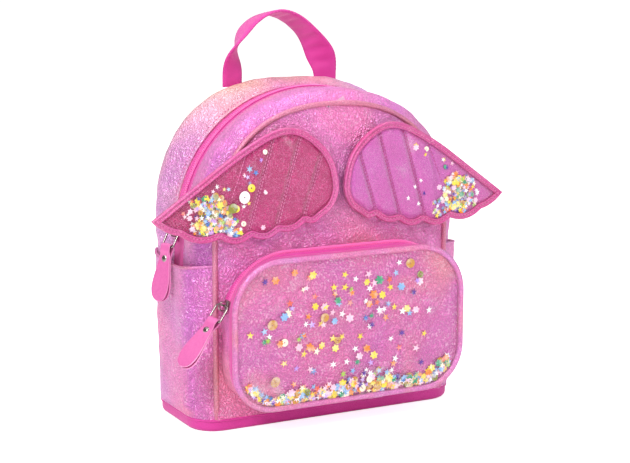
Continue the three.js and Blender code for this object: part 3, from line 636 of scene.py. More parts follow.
rimFoil = foilMaterial("rimFoil", {
    "main": "d64a92", "drift": "d658a4", "warm": "dc6a94", "side": "e474b4", "metal": 0.45,
    "glintFlakeShare": 0.3, "creaseScale": 520, "bump": 0.3, "coat": 0.5})
raspberryGlitter = foilMaterial("raspberryGlitter", {
    "main": "c41470", "drift": "d42e86", "warm": "b8165c", "side": "cc2c80", "metal": 0.4,
    "glintFlake": "ff9cd2", "flakeScale": 1300, "glintFlakeShare": 0.7, "creaseScale": 700, "bump": 0.7})
orchidSatin = foilMaterial("orchidSatin", {
    "main": "d355ae", "drift": "cf5cbc", "warm": "d97a98", "side": "cc62b8", "metal": 0.3,
    "glintFlakeShare": 0.3, "flakeScale": 1500, "creaseScale": 700, "bump": 0.35})
windowSatin = foilMaterial("windowSatin", {
    "main": "e06cac", "drift": "d264b8", "warm": "ea8c9c", "side": "c45abc", "metal": 0.45, "flakeScale": 800,
    "glintFlakeShare": 0.6, "creaseScale": 330, "bump": 0.6, "driftScale": 18})
hotPink = clothMaterial("hotPinkCloth", {
    "dark": "df2f9c", "light": "ee48b2", "across": 520, "along": 520, "contrast": 0.35, "bump": 0.3})
zipTape = clothMaterial("zipTapeCloth", {
    "dark": "e22a9a", "light": "f049b4", "across": 300, "along": 700, "contrast": 0.35, "bump": 0.5})
webbingCloth = clothMaterial("webbingCloth", {
    "dark": "dd2f95", "light": "f04bae", "across": 260, "along": 420, "contrast": 0.5, "bump": 0.8})
liningCloth = clothMaterial("liningCloth", {
    "dark": "e8a6cd", "light": "f4bfdd", "across": 600, "along": 600, "contrast": 0.25, "bump": 0.25})
meshCloth = clothMaterial("airMeshCloth", {
    "dark": "df6fb4", "light": "ec86c6", "across": 130, "along": 130, "contrast": 0.6, "bump": 1.0})
stitchThread = clothMaterial("stitchThread", {
    "dark": "e0509f", "light": "f27abf", "across": 900, "along": 900, "contrast": 0.3})
deepThread = clothMaterial("deepThread", {
    "dark": "b8307c", "light": "cc4290", "across": 900, "along": 900, "contrast": 0.3})
paleThread = clothMaterial("paleThread", {
    "dark": "ee74b8", "light": "ffa4d4", "across": 900, "along": 900, "contrast": 0.3})
# painted shade: a darker pink for the strip under the main zip's coil
zipGapShadeCloth = clothMaterial("zipGapShadeCloth", {
    "dark": "a8146a", "light": "bb2078", "across": 300, "along": 700, "contrast": 0.3})
coilPlastic = grainMaterial("coilPlastic", {
    "light": "f03aa4", "dark": "d81f8a", "rubbed": "ff7cc8", "rough": 0.35, "scale": 900, "coat": 0.2})
pullLeather = grainMaterial("pullLeather", {
    "light": "e06cae", "dark": "cc5098", "rubbed": "f3a0d0", "rough": 0.42, "scale": 620,
    "metal": 0.15, "coat": 0.15, "bump": 0.5})
adjusterPlastic = grainMaterial("adjusterPlastic", {
    "light": "ea3f9e", "dark": "d52c8a", "rubbed": "f68ac8", "rough": 0.35, "scale": 500, "coat": 0.2})
boardFibre = grainMaterial("boardFibre", {
    "light": "dcd6cc", "dark": "b9b0a4", "rubbed": "efe9df", "rough": 0.85, "scale": 350})
nickelMetal = grainMaterial("nickelMetal", {
    "light": "857d78", "dark": "544d4a", "rubbed": "c4bcb7", "rough": 0.26, "scale": 240,
    "metal": 1.0, "bump": 0.08})


def makeVinyl():
    # clear film: little is seen of it but white streaks of painted highlight, and its rims
    material, tree, shader, place = startMaterial("clearVinyl", Roughness=0.06, Coat_Weight=0.6)
    shader.inputs["Base Color"].default_value = (1, 0.96, 0.99, 1)
    shader.inputs["IOR"].default_value = 1.53
    streak = addNode(tree, "ShaderNodeTexNoise", -900, 0, in_Scale=26, in_Detail=3, in_Distortion=1.2)
    # painted highlights: white streaks laid into the alpha
    highlightStreakMask = rampOf(tree, -650, 0, [(0.6, 0.02), (0.8, 0.16)])
    edge = addNode(tree, "ShaderNodeLayerWeight", -900, -300, in_Blend=0.22)
    total = addNode(tree, "ShaderNodeMath", -350, -100, operation="MAXIMUM")
    half = addNode(tree, "ShaderNodeMath", -600, -300, operation="MULTIPLY")
    half.inputs[1].default_value = 0.22
    join(tree, place, "Object", streak, "Vector")
    join(tree, streak, "Fac", highlightStreakMask, "Fac")
    join(tree, edge, "Facing", half, 0)
    join(tree, highlightStreakMask, "Color", total, 0)
    join(tree, half, "Value", total, 1)
    join(tree, total, "Value", shader, "Alpha")
    addBump(tree, shader, streak, "Fac", 0.25, 0.002)
    return material


def makeConfettiFoil():
    # each cut shape carries its own tint, with a painted pearly sheen over it: patches lightened toward white
    # and made smoother
    material, tree, shader, place = startMaterial("confettiFoil", Metallic=0.25, Coat_Weight=0.3)
    tint = addNode(tree, "ShaderNodeAttribute", -900, 200, attribute_name="tint")
    bloom = addNode(tree, "ShaderNodeTexNoise", -900, -100, in_Scale=180, in_Detail=2)
    # painted sheen: patches of the tint lightened toward white
    sheenBloomMask = rampOf(tree, -650, -100, [(0.45, 0), (0.75, 0.5)])
    paintedSheen = mixColour(tree, -350, 100)
    paintedSheen.inputs["B"].default_value = (1, 1, 1, 1)
    join(tree, place, "Object", bloom, "Vector")
    join(tree, bloom, "Fac", sheenBloomMask, "Fac")
    join(tree, sheenBloomMask, "Color", paintedSheen, "Factor")
    join(tree, tint, "Color", paintedSheen, "A")
    join(tree, paintedSheen, "Result", shader, "Base Color")
    rough = addNode(tree, "ShaderNodeMapRange", -350, -250, in_To_Min=0.5, in_To_Max=0.2)
    join(tree, bloom, "Fac", rough, "Value")
    join(tree, rough, "Result", shader, "Roughness")
    addBump(tree, shader, bloom, "Fac", 0.15, 0.0005)
    return material


clearVinyl = makeVinyl()
confettiFoil = makeConfettiFoil()

print("stage: shells")
gusset = {
    "frontRows": [[0, -8.4, 2.35, -8.8], [0.075, -4.2, 2.35, -5.2], [0.26, 2, 2.3, -0.5],
                  [0.537, 3.6, 2.2, 1.2], [0.815, 2.4, 2.1, 1], [1, 0.8, 2.05, 0.6]],
    "rearRows": [[0, 0.8, 2.05, 0.8], [0.28, 3.5, 2.3, 3.5], [0.578, 5.5, 2.5, 5.5], [0.821, 3.6, 2.5, 3.6],
                 [0.933, 0.4, 2.5, 0.4], [1, -2.4, 2.5, -2.4]],
    "frontSpan": (-45.2, -11.0),
    "rearSpan": (6.3, 45.2),
    "columns": 230,
    "rows": 20,
    "swell": 0.7,
}
bagCore = (0, 0, 130)


def gussetRing(y):
    # (half-width, roundness, rise) of the arch at a depth y
    if y <= gusset["frontSpan"][1]:
        low, high = gusset["frontSpan"]
        grow, n, rise = throughKnots(gusset["frontRows"], (y - low) / (high - low))
    elif y < gusset["rearSpan"][0]:
        grow, n, rise = 0.8, 2.05, 0.8
    else:
        low, high = gusset["rearSpan"]
        grow, n, rise = throughKnots(gusset["rearRows"], (y - low) / (high - low))
    return bag["radius"] + grow, n, bag["radius"] + rise


def sideHalf(y, z):
    # half-width of the bag's side: straighter and fuller toward the base
    half = gussetRing(y)[0]
    share = clamp((bag["foldZ"] - z) / (bag["foldZ"] - bag["baseHeight"]))
    past = max(0, abs(y) - (bag["backY"] - bag["baseCorner"]))
    corner = bag["baseCorner"] - math.sqrt(max(0, bag["baseCorner"] ** 2 - past ** 2))
    return mix(half, bag["baseHalf"] - 1.2 - corner, share ** 0.5)


def archPlace(u, y, lowZ):
    # right base, up over the arch, down to the left base
    half, n, rise = gussetRing(y)
    leg = bag["centreZ"] - lowZ
    arc = math.pi * bag["radius"]
    run = u * (2 * leg + arc)
    if run < leg or run > leg + arc:
        z = lowZ + (run if run < leg else 2 * leg + arc - run)
        x = sideHalf(y, z)
        return (x if run < leg else -x, y, z)
    turn = (run - leg) / bag["radius"]
    x = half * power(math.cos(turn), 2 / n)
    return (x, y, bag["centreZ"] + rise * power(math.sin(turn), 2 / n))


def sideSkin(name, span, material, seed):
    low = bag["baseHeight"] + 0.2
    skin = gridPiece(name, gusset["columns"], gusset["rows"],
                     lambda u, v: archPlace(u, mix(*span, v), low), material, core=bagCore)
    crumple(skin, gusset["swell"], 60, seed, lambda p: ease((p.y - span[0]) / 6) * ease((span[1] - p.y) / 6))
    thicken(skin, bag["fabric"], liningCloth)
    smoothShade(skin)
    return skin


frontSkin = sideSkin("front_gusset_skin", gusset["frontSpan"], foilGusset, 1)
slotFor(frontSkin, "foil_pink", "front_gusset")
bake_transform(frontSkin)
rearSkin = sideSkin("rear_gusset_skin", gusset["rearSpan"], foilRear, 2)
slotFor(rearSkin, "foil_pink", "rear_gusset", "side_panel_left", "side_panel_right")
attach(rearSkin, "bag_body")

# the tail of the zip tape, sewn into the side below the zip's end
zipTail = {"top": 148, "low": bag["baseHeight"] + 0.5, "front": -12.2, "rear": 7.6, "under": 0.55}
for side, sign in (("left", -1), ("right", 1)):
    def tailPlace(u, v, sign=sign):
        y = mix(zipTail["front"], zipTail["rear"], u)
        z = mix(zipTail["low"], zipTail["top"], v)
        return (sign * (sideHalf(y, z) - zipTail["under"]), y, z)
    tail = gridPiece(f"zip_tape_tail_{side}", 8, 60, tailPlace, zipTape, core=bagCore)
    thicken(tail, 0.9, liningCloth)
    smoothShade(tail)
    slotFor(tail, "hot_pink_fabric")
    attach(tail, "bag_body")


def panelY(x, z):
    # depth of the front panel's face, swelling forward inside its seam
    side = min(1, abs(x) / bag["panelHalf"]) ** 2.35
    if z > bag["centreZ"]:
        up = ((z - bag["centreZ"]) / bag["panelHalf"]) ** 2.35
        return bag["frontY"] - bag["panelSwell"] * (1 - min(1, side + up) ** 2)
    down = min(1, (bag["centreZ"] - z) / (bag["centreZ"] - bag["baseHeight"])) ** 6
    return bag["frontY"] - bag["panelSwell"] * (1 - side ** 2) * (1 - down)


def archPanelPlace(u, v, half, n, lowZ, depthAt):
    leg = bag["centreZ"] - lowZ
    arc = half * math.pi / 2
    run = v * (leg + arc)
    if run < leg:
        x, z = half, lowZ + run
    else:
        turn = min(math.pi / 2, (run - leg) / half)
        x = half * max(0, math.cos(turn)) ** (2 / n)
        z = bag["centreZ"] + half * math.sin(turn) ** (2 / n)
    x *= 2 * u - 1
    return (x, depthAt(x, z), z)


panelLook = {"half": 96.8, "round": 2.35, "columns": 84, "rows": 96, "swell": 0.9}


def panelPlace(u, v):
    return archPanelPlace(u, v, panelLook["half"], panelLook["round"], bag["baseHeight"] + 0.2, panelY)


frontPanel = gridPiece("front_panel_skin", panelLook["columns"], panelLook["rows"], panelPlace,
                       foilPink, core=bagCore)
closeSeams(frontPanel)
crumple(frontPanel, panelLook["swell"], 45, 3, lambda p: ease((96 - abs(p.x)) / 10) * ease((p.z - 12) / 10))
thicken(frontPanel, bag["fabric"], liningCloth)
smoothShade(frontPanel)
slotFor(frontPanel, "foil_pink", "front_panel_lower", "front_panel_upper")
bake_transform(frontPanel)

backLook = {"half": 102.4, "round": 2.5, "columns": 72, "rows": 84, "crown": 2.2, "channel": 34}


def backDepth(x, z):
    # a padded back: three soft columns between two sewn channels
    edge = ease((backLook["half"] - abs(x)) / 26) * ease((z - 34) / 30) * ease((238 - z) / 26)
    channel = min(abs(abs(x) - backLook["channel"]) / 6, 1)
    return 47.4 + backLook["crown"] * edge * (0.25 + 0.75 * ease(channel))


backPanel = gridPiece(
    "back_panel_padding", backLook["columns"], backLook["rows"],
    lambda u, v: archPanelPlace(
        u, v, backLook["half"], backLook["round"], bag["baseHeight"] + 0.2, backDepth),
    meshCloth, core=bagCore)
closeSeams(backPanel)
thicken(backPanel, 1.8, liningCloth)
smoothShade(backPanel)
slotFor(backPanel, "foil_pink", "back_panel")
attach(backPanel, "bag_body")

# piping: a cord in folded foil, around the front and the back seam


def pipeRoute(half, y, n, lowZ, count):
    leg = bag["centreZ"] - lowZ
    route = [Vector((half, y, mix(lowZ, bag["centreZ"], i / 30))) for i in range(30)]
    for i in range(count + 1):
        turn = math.pi * i / count
        route.append(Vector((half * power(math.cos(turn), 2 / n), y,
                             bag["centreZ"] + half * power(math.sin(turn), 2 / n))))
    for p in route[:30]:
        tuck = 1 - ease((p.z - lowZ) / 16)
        p.x -= 1.2 * tuck
        p.y -= math.copysign(3.2, y) * tuck
    route += [Vector((-p.x, p.y, p.z)) for p in reversed(route[:30])]
    total = leg * 2 + math.pi * half
    return evenPoints(route, int(total / 2.4))


frontPipe = sweptPiece("front_piping", pipeRoute(bag["panelHalf"], bag["frontY"] - 0.3, 2.35, 9.2, 160),
                       roundSection(bag["pipeRadius"] + 0.1, 12), salmonPipe)
smoothShade(frontPipe, 60)
slotFor(frontPipe, "salmon_foil", "piping_front_left", "piping_front_right", "piping_front_arch")
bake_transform(frontPipe)
backPipe = sweptPiece("back_piping", pipeRoute(bag["radius"] - 3, bag["backY"] + 0.3, 2.5, 9.2, 160),
                      roundSection(bag["pipeRadius"] + 0.1, 12), foilPipe)
smoothShade(backPipe, 60)
slotFor(backPipe, "foil_pink", "piping_back")
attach(backPipe, "bag_body")

print("stage: base")
baseLook = {"edge": 3.8, "columns": 144}


def roundedPlan(halfX, halfY, corner, share):
    # a point on a rounded rectangle, share 0 to 1 round it
    straights = [2 * (halfY - corner), 2 * (halfX - corner)] * 2
    arc = math.pi / 2 * corner
    total = sum(straights) + 4 * arc
    run = (share % 1) * total
    signs = [(1, 1), (-1, 1), (-1, -1), (1, -1)]
    for k in range(4):
        cx, cy = signs[k][0] * (halfX - corner), signs[k][1] * (halfY - corner)
        start = [(halfX, -(halfY - corner)), (halfX - corner, halfY),
                 (-halfX, halfY - corner), (-(halfX - corner), -halfY)][k]
        if run <= straights[k]:
            way = [(0, 1), (-1, 0), (0, -1), (1, 0)][k]
            return (start[0] + way[0] * run, start[1] + way[1] * run)
        run -= straights[k]
        if run <= arc:
            turn = k * math.pi / 2 + run / corner
            return (cx + corner * math.cos(turn), cy + corner * math.sin(turn))
        run -= arc
    return (halfX, -(halfY - corner))


def basePlace(u, v):
    # from the middle of the floor out to the turned-up edge and up to its rim
    if v < 0.5:
        grow = v / 0.5
        x, y = roundedPlan(bag["baseHalf"] - baseLook["edge"], 44.4 - baseLook["edge"],
                           bag["baseCorner"] - baseLook["edge"], u)
        return (x * grow, y * grow, 0.25 * (1 - ease(abs(grow - 0.8) / 0.2)))
    turn = clamp((v - 0.5) / 0.25) * math.pi / 2
    inset = baseLook["edge"] * (1 - math.sin(turn))
    rise = baseLook["edge"] * (1 - math.cos(turn)) + clamp((v - 0.75) / 0.25) * 5.6
    x, y = roundedPlan(bag["baseHalf"] - inset + 0.2, 44.6 - inset, bag["baseCorner"] - inset, u)
    return (x, y, rise)


baseSkin = gridPiece("base_skin", baseLook["columns"] * 2, 32, basePlace, hotPink, core=(0, 0, 60), wrap=True)
thicken(baseSkin, 1.6, liningCloth)
smoothShade(baseSkin, 50)
slotFor(baseSkin, "hot_pink_fabric", "base_panel")
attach(baseSkin, "bag_body")
baseBead = sweptPiece(
    "base_seam_bead", [Vector((*roundedPlan(112.4, 44.8, 22, i / 260), 9.1)) for i in range(261)],
    roundSection(0.9, 8), hotPink, reference=(0, 0, 1), closed=True)
smoothShade(baseBead, 60)
slotFor(baseBead, "hot_pink_fabric")
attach(baseBead, "bag_body")

print("stage: side pockets")
sidePocket = {"low": 10, "top": 127, "sag": 4, "room": 5, "slack": 2, "skin": 1.3, "seam": 1.5,
              "front": -44.4, "rear": 39.5, "hem": 1.1}


def sidePocketPlace(u, v, sign, out=0.0):
    y = mix(sidePocket["front"], sidePocket["rear"], u)
    top = sidePocket["top"] - sidePocket["sag"] * math.sin(math.pi * u)
    z = mix(sidePocket["low"], top, v)
    full = ease(u / 0.14) * ease((1 - u) / 0.4) * ease(v / 0.08)
    room = sidePocket["room"] + sidePocket["slack"] * v * math.sin(math.pi * u)
    x = sideHalf(y, z) - 0.6 + mix(sidePocket["seam"], room, full) + sidePocket["skin"] + out
    return (sign * x, y, z)


for side, sign in (("left", -1), ("right", 1)):
    cloth = gridPiece(f"side_pocket_skin_{side}", 44, 60,
                      lambda u, v, sign=sign: sidePocketPlace(u, v, sign), foilPink, core=bagCore)
    crumple(cloth, 0.8, 55, 5 + sign,
            lambda p: ease((p.z - 12) / 12) * ease((p.y + 40) / 8) * ease((37 - p.y) / 8))
    thicken(cloth, sidePocket["skin"], liningCloth)
    smoothShade(cloth)
    slotFor(cloth, "foil_pink", f"side_pocket_{side}")
    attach(cloth, "bag_body")
    hemRoute = [Vector(sidePocketPlace(i / 48, 1, sign, -sidePocket["skin"] / 2)) for i in range(49)]
    hem = sweptPiece(f"side_pocket_hem_{side}", hemRoute, roundSection(sidePocket["hem"], 8), foilPipe,
                     reference=(1, 0, 0))
    smoothShade(hem, 60)
    slotFor(hem, "foil_pink")
    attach(hem, "bag_body")

print("stage: small patterns")
clearSelection()
bpy.ops.mesh.primitive_uv_sphere_add(segments=6, ring_count=5, radius=1)
bpy.ops.transform.resize(value=(1.0 * mm, 0.36 * mm, 0.3 * mm))
bpy.ops.object.transform_apply(location=False, rotation=False, scale=True)
stitchShape = patternMesh("stitch_shape")
clearSelection()
bpy.ops.mesh.primitive_cube_add(size=1)
bpy.ops.transform.resize(value=(0.8 * mm, 3.2 * mm, 2.0 * mm))
bpy.ops.object.transform_apply(location=False, rotation=False, scale=True)
bpy.context.object.modifiers.new("soft", "BEVEL").width = 0.26 * mm
applyModifiers(bpy.context.object)
toothShape = patternMesh("tooth_shape")


def cutShape(name, outline, thick, hole=0.0):
    # a flat confetti shape: a circle pulled into its outline, then extruded
    clearSelection()
    bpy.ops.mesh.primitive_circle_add(
        vertices=len(outline), radius=1, fill_type="NOTHING" if hole else "NGON")
    piece = bpy.context.object
    for vertex, point in zip(piece.data.vertices, outline):
        vertex.co = Vector((point[0], point[1], 0)) * mm
    bpy.ops.object.mode_set(mode="EDIT")
    bpy.ops.mesh.select_all(action="SELECT")
    if hole:
        bpy.ops.mesh.extrude_edges_move()
        bpy.ops.transform.resize(value=(hole, hole, 1))
        bpy.ops.mesh.select_all(action="SELECT")
    bpy.ops.mesh.extrude_region_move(TRANSFORM_OT_translate={"value": (0, 0, thick * mm)})
    bpy.ops.mesh.select_all(action="SELECT")
    bpy.ops.mesh.normals_make_consistent(inside=False)
    bpy.ops.object.mode_set(mode="OBJECT")
    return patternMesh(name)


def starOutline(points, reach, waist):
    turns = [math.pi * i / points for i in range(2 * points)]
    return [((reach if i % 2 == 0 else waist) * math.cos(t), (reach if i % 2 == 0 else waist) * math.sin(t))
            for i, t in enumerate(turns)]


def flowerOutline(petals, reach, dip, steps=3):
    turns = [2 * math.pi * i / (petals * steps) for i in range(petals * steps)]
    size = [reach - dip * abs(math.cos(petals * t / 2)) ** 2 for t in turns]
    return [(s * math.cos(t), s * math.sin(t)) for s, t in zip(size, turns)]


confettiShapes = {
    "star": cutShape("star_shape", starOutline(5, 2.5, 0.95), 0.22),
    "spark": cutShape("spark_shape", starOutline(6, 2.5, 0.9), 0.22),
    "flower": cutShape("flower_shape", flowerOutline(6, 3.0, 1.25), 0.25),
    "sequin": cutShape("sequin_shape", flowerOutline(1, 2.5, 0, 12), 0.22, hole=0.2),
    "disc": cutShape("disc_shape", flowerOutline(1, 3.2, 0, 14), 0.25, hole=0.14),
}
confettiTints = {
    "lemon": "f7dc3c", "gold": "c98f24", "olive": "86862c", "cream": "fff3d6", "white": "fdfbff",
    "lilac": "c493ee", "violet": "5a229c", "sky": "88b8ea", "blue": "4a7ccc", "orange": "f58a22",
    "coral": "f0604a", "green": "2f9c70", "lime": "a4cc48", "blush": "ffc6de",
}
confettiMix = [
    ("star", "lemon", 9), ("star", "white", 9), ("star", "cream", 6), ("star", "sky", 7),
    ("star", "lilac", 6),
    ("star", "orange", 5), ("star", "coral", 4), ("spark", "white", 5), ("spark", "blue", 4),
    ("spark", "violet", 4), ("spark", "green", 2), ("spark", "lime", 4), ("flower", "lemon", 5),
    ("flower", "orange", 4), ("flower", "blush", 5), ("flower", "sky", 3), ("flower", "green", 1.5),
    ("sequin", "gold", 3.5), ("sequin", "olive", 2.5), ("sequin", "cream", 1.5), ("disc", "lemon", 1),
    ("disc", "gold", 1), ("star", "blush", 5)]


def pickConfetti(draw):
    kind, tint, _ = draw.choices(confettiMix, weights=[row[2] for row in confettiMix])[0]
    return kind, tint


def confettiPiece(name, spots, seed, material):
    # spots are (x, y, z, kind or None, tint or None, size) in millimetres, faces toward the front
    draw = random.Random(seed)
    patterns, places, tints = [], [], []
    for x, y, z, kind, tint, size in spots:
        some = pickConfetti(draw)
        kind, tint = kind or some[0], tint or some[1]
        tip = Matrix.Rotation(draw.uniform(-0.2, 0.2), 4, "X")
        tip = tip @ Matrix.Rotation(draw.uniform(-0.2, 0.2), 4, "Z")
        turn = Matrix.Rotation(math.pi / 2, 4, "X") @ Matrix.Rotation(draw.uniform(0, 2 * math.pi), 4, "Z")
        size *= draw.uniform(0.85, 1.1)
        places.append(Matrix.Translation(Vector((x, y, z)) * mm) @ tip @ turn @ Matrix.Scale(size, 4))
        patterns.append(confettiShapes[kind])
        tints.append(colour(confettiTints[tint])[:3])
    return copiesAt(name, patterns, places, material, tints)


def stitchesAlong(name, points, outs, pitch, body, sink=0.0, size=1.0, material=None):
    # a row of stitches along a line of points, each with its own way out of the cloth
    total = sum((b - a).length for a, b in zip(points, points[1:]))
    count = max(2, int(total / pitch))
    line = evenPoints(points, count * 2)
    places = []
    for i in range(1, len(line) - 1, 2):
        share = i / (len(line) - 1)
        out = Vector(outs[min(len(outs) - 1, int(share * len(outs)))]).normalized()
        along = line[i + 1] - line[i - 1]
        places.append(axesAt(line[i] + out * sink, along, out) @ Matrix.Scale(size, 4))
    piece = copiesAt(name, stitchShape, places, material or stitchThread)
    if isinstance(body, str):
        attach(piece, body)
    else:
        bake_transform(piece)
    return piece


def teethAlong(name, points, outs, pitch, shift, across, body, *nodes):
    total = sum((b - a).length for a, b in zip(points, points[1:]))
    line = evenPoints(points, int(total / pitch) * 2)
    places = []
    for i in range(1 + shift, len(line) - 1, 2):
        out = Vector(outs(line[i])).normalized()
        along = line[i + 1] - line[i - 1]
        centre = line[i] + Vector((0, across, 0))
        places.append(axesAt(centre, along, out) @ Matrix.Rotation(0.16 * (1 if across > 0 else -1), 4, "Z"))
    piece = copiesAt(name, toothShape, places, coilPlastic)
    slotFor(piece, "hot_pink_fabric", *nodes)
    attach(piece, body)
    return piece


print("stage: main zip")
zipLook = {"tapeThick": 0.9, "frontTape": (-2.6, -11.6), "rearTape": (-1.4, 7.0), "across": 1.25,
           "pitch": 1.55, "cord": 0.75, "coreHalf": 1.9, "coreUnder": 0.05, "coreThick": 0.4}


def zipCircle(fromDeg, toDeg, y, grow=0.0, steps=200):
    radius = bag["radius"] + grow
    turns = [math.radians(mix(fromDeg, toDeg, i / steps)) for i in range(steps + 1)]
    return [Vector((radius * math.cos(t), y, bag["centreZ"] + radius * math.sin(t))) for t in turns]


def fromArchCentre(p):
    return (p.x, 0, p.z - bag["centreZ"])


for label, body, span, angles, across, shift in (
        ("rear", "bag_body", zipLook["rearTape"], (-3, 183), zipLook["across"], 0),
        ("front", "front_flap", zipLook["frontTape"], (3.6, 176.4), -zipLook["across"], 1)):
    def tapePlace(u, v, span=span, angles=angles):
        turn = math.radians(mix(*angles, u))
        y = mix(*span, v)
        radius = bag["radius"] + 0.25 + 0.12 * math.sin(v * math.pi)
        return (radius * math.cos(turn), y, bag["centreZ"] + radius * math.sin(turn))
    tape = gridPiece(f"main_zip_tape_{label}", 160, 8, tapePlace, zipTape, core=bagCore)
    thicken(tape, zipLook["tapeThick"])
    smoothShade(tape)
    slotFor(tape, "hot_pink_fabric")
    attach(tape, body)
    teethAlong(f"main_zip_coil_{label}", zipCircle(angles[0] + 1, angles[1] - 2.6, bag["zipY"], 0.35),
               fromArchCentre, zipLook["pitch"], shift, across, body, f"zip_half_{label}")
    sewn = sweptPiece(f"main_zip_cord_{label}", zipCircle(*angles, bag["zipY"] + across * 2.3, 0.75),
                      roundSection(zipLook["cord"] * 0.6, 6), zipTape)
    smoothShade(sewn, 60)
    slotFor(sewn, "hot_pink_fabric")
    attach(sewn, body)


# a darker strip under the coil, filling the gap between the two tapes: painted shade in that gap
def corePlace(u, v):
    turn = math.radians(mix(-2, 182, u))
    y = bag["zipY"] + mix(-zipLook["coreHalf"], zipLook["coreHalf"], v)
    radius = bag["radius"] - zipLook["coreUnder"]
    return (radius * math.cos(turn), y, bag["centreZ"] + radius * math.sin(turn))


zipGapShadeStrip = gridPiece("main_zip_gap_shade", 160, 4, corePlace, zipGapShadeCloth, core=bagCore)
thicken(zipGapShadeStrip, zipLook["coreThick"])
slotFor(zipGapShadeStrip, "hot_pink_fabric")
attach(zipGapShadeStrip, "bag_body")

# the stitching that holds the gussets to the zip
gussetSeams = {"front": (-14.0, frontSkin, ("bag_body", "front_flap", flapBend)),
               "rear": (9.4, rearSkin, "bag_body")}
for label, (y, skin, body) in gussetSeams.items():
    seamLine = [Vector(archPlace(i / 400, y, 12)) for i in range(401)]
    seamOuts = [(p.x, 0, max(0, p.z - bag["centreZ"])) for p in seamLine]
    stitchesAlong(f"gusset_stitches_{label}", seamLine, seamOuts, 3.0, body, sink=0.1, size=0.9)

print("stage: front pocket")
pocket = {
    "rear": {"half": 94, "top": 135, "bottom": 21, "topRadius": 49, "bottomRadius": 32},
    "face": {"half": 96, "top": 132.5, "bottom": 22, "topRadius": 37, "bottomRadius": 32},
    "foldZ": 92, "startZ": 82, "faceY": -75, "zipY": -57, "stripY": (-62.5, -72.6), "rearTape": -55.6,
    "pipe": 2.3, "zipPitch": 1.55,
    "inset": 2.2, "backingY": -74.0, "backingSwell": 1.7, "filmY": -76.6, "filmSwell": 4.0,
}


def pocketRing(look, grow=0.0, corner=18, run=20):
    # the whole outline as (x, z, nx, nz), anticlockwise from the right side's middle
    half, top, bottom = look["half"] + grow, look["top"] + grow, look["bottom"] - grow
    topR, botR = look["topRadius"] + grow, look["bottomRadius"] + grow
    middle = pocket["startZ"]
    quarter = []
    for i in range(run // 2):
        quarter.append((half, mix(middle, top - topR, i / (run // 2)), 1, 0))
    for i in range(corner + 1):
        t = math.pi / 2 * i / corner
        quarter.append((half - topR + topR * math.cos(t), top - topR + topR * math.sin(t),
                        math.cos(t), math.sin(t)))
    for i in range(1, run):
        quarter.append((mix(half - topR, 0, i / run), top, 0, 1))
    lower = []
    for i in range(run // 2):
        lower.append((half, mix(middle, bottom + botR, i / (run // 2)), 1, 0))
    for i in range(corner + 1):
        t = math.pi / 2 * i / corner
        lower.append((half - botR + botR * math.cos(t), bottom + botR - botR * math.sin(t),
                      math.cos(t), -math.sin(t)))
    for i in range(1, run):
        lower.append((mix(half - botR, 0, i / run), bottom, 0, -1))

    def flip(p):
        return (-p[0], p[1], -p[2], p[3])
    ring = quarter + [(0, top, 0, 1)] + [flip(p) for p in reversed(quarter)]
    ring += [flip(p) for p in lower[1:]] + [(0, bottom, 0, -1)] + list(reversed(lower[1:])) + [quarter[0]]
    return ring


def partOfRing(ring, over):
    # the run of the outline over the lid's fold, or the run under it
    right = next(i for i, p in enumerate(rearRing) if p[1] > pocket["foldZ"]) - 1
    left = next(i for i, p in enumerate(rearRing) if p[0] < 0 and p[1] <= pocket["foldZ"])
    return ring[right:left + 1] if over else ring[left:-1] + ring[:right + 1]


def bandPiece(name, rows, material, bulge=0.0, steps=8, core=None, wrap=False):
    # a band across several outlines; each row is (outline, depth)
    last = len(rows[0][0]) - 1

    def depthOf(depth, x, z):
        return depth(x, z) if callable(depth) else depth

    def place(u, v):
        i = round(u * last)
        along = v * (len(rows) - 1)
        k = min(int(along), len(rows) - 2)
        a, b = rows[k][0][i], rows[k + 1][0][i]
        x, z = mix(a[0], b[0], along - k), mix(a[1], b[1], along - k)
        y = mix(depthOf(rows[k][1], x, z), depthOf(rows[k + 1][1], x, z), along - k)
        lift = bulge * math.sin(math.pi * v)
        return (x + a[2] * lift, y, z + a[3] * lift)
    return gridPiece(name, last, steps, place, material, core=core, wrap=wrap)


pocketCore = (0, -60, 78)
rearRing, faceRing = pocketRing(pocket["rear"]), pocketRing(pocket["face"])
midShare = (pocket["stripY"][0] + 45) / (pocket["faceY"] + 45)
midRing = [tuple(mix(a, b, midShare) for a, b in zip(p, q)) for p, q in zip(rearRing, faceRing)]


def onPanel(x, z):
    return panelY(x, z) - 0.3


lowerRear = bandPiece("pocket_gusset_rear", [
    (partOfRing(rearRing, False), onPanel), (partOfRing(midRing, False), pocket["stripY"][0])],
    foilGusset, bulge=0.6, steps=14, core=pocketCore)
crumple(lowerRear, 0.6, 60, 9)
thicken(lowerRear, 1.3, liningCloth)
smoothShade(lowerRear)
slotFor(lowerRear, "foil_pink", "pocket_gusset_lower")
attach(lowerRear, "bag_body")
strip = bandPiece("pocket_binding_strip", [(midRing, pocket["stripY"][0]), (faceRing, pocket["stripY"][1])],
                  hotPink, bulge=0.5, steps=6, core=pocketCore, wrap=True)
thicken(strip, 1.3, liningCloth)
smoothShade(strip)
slotFor(strip, "hot_pink_fabric", "pocket_gusset_upper")
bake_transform(strip)
overRear = partOfRing(rearRing, True)
rearTape = bandPiece("pocket_zip_tape_rear", [(overRear, onPanel), (overRear, pocket["rearTape"])],
                     zipTape, bulge=0.2, steps=6, core=pocketCore)
thicken(rearTape, 0.9, liningCloth)
smoothShade(rearTape)
slotFor(rearTape, "hot_pink_fabric")
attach(rearTape, "bag_body")
overMid = partOfRing(midRing, True)
frontTape = bandPiece("pocket_zip_tape_front", [(overRear, -58.4), (overMid, pocket["stripY"][0] - 0.4)],
                      zipTape, bulge=0.3, steps=6, core=pocketCore)
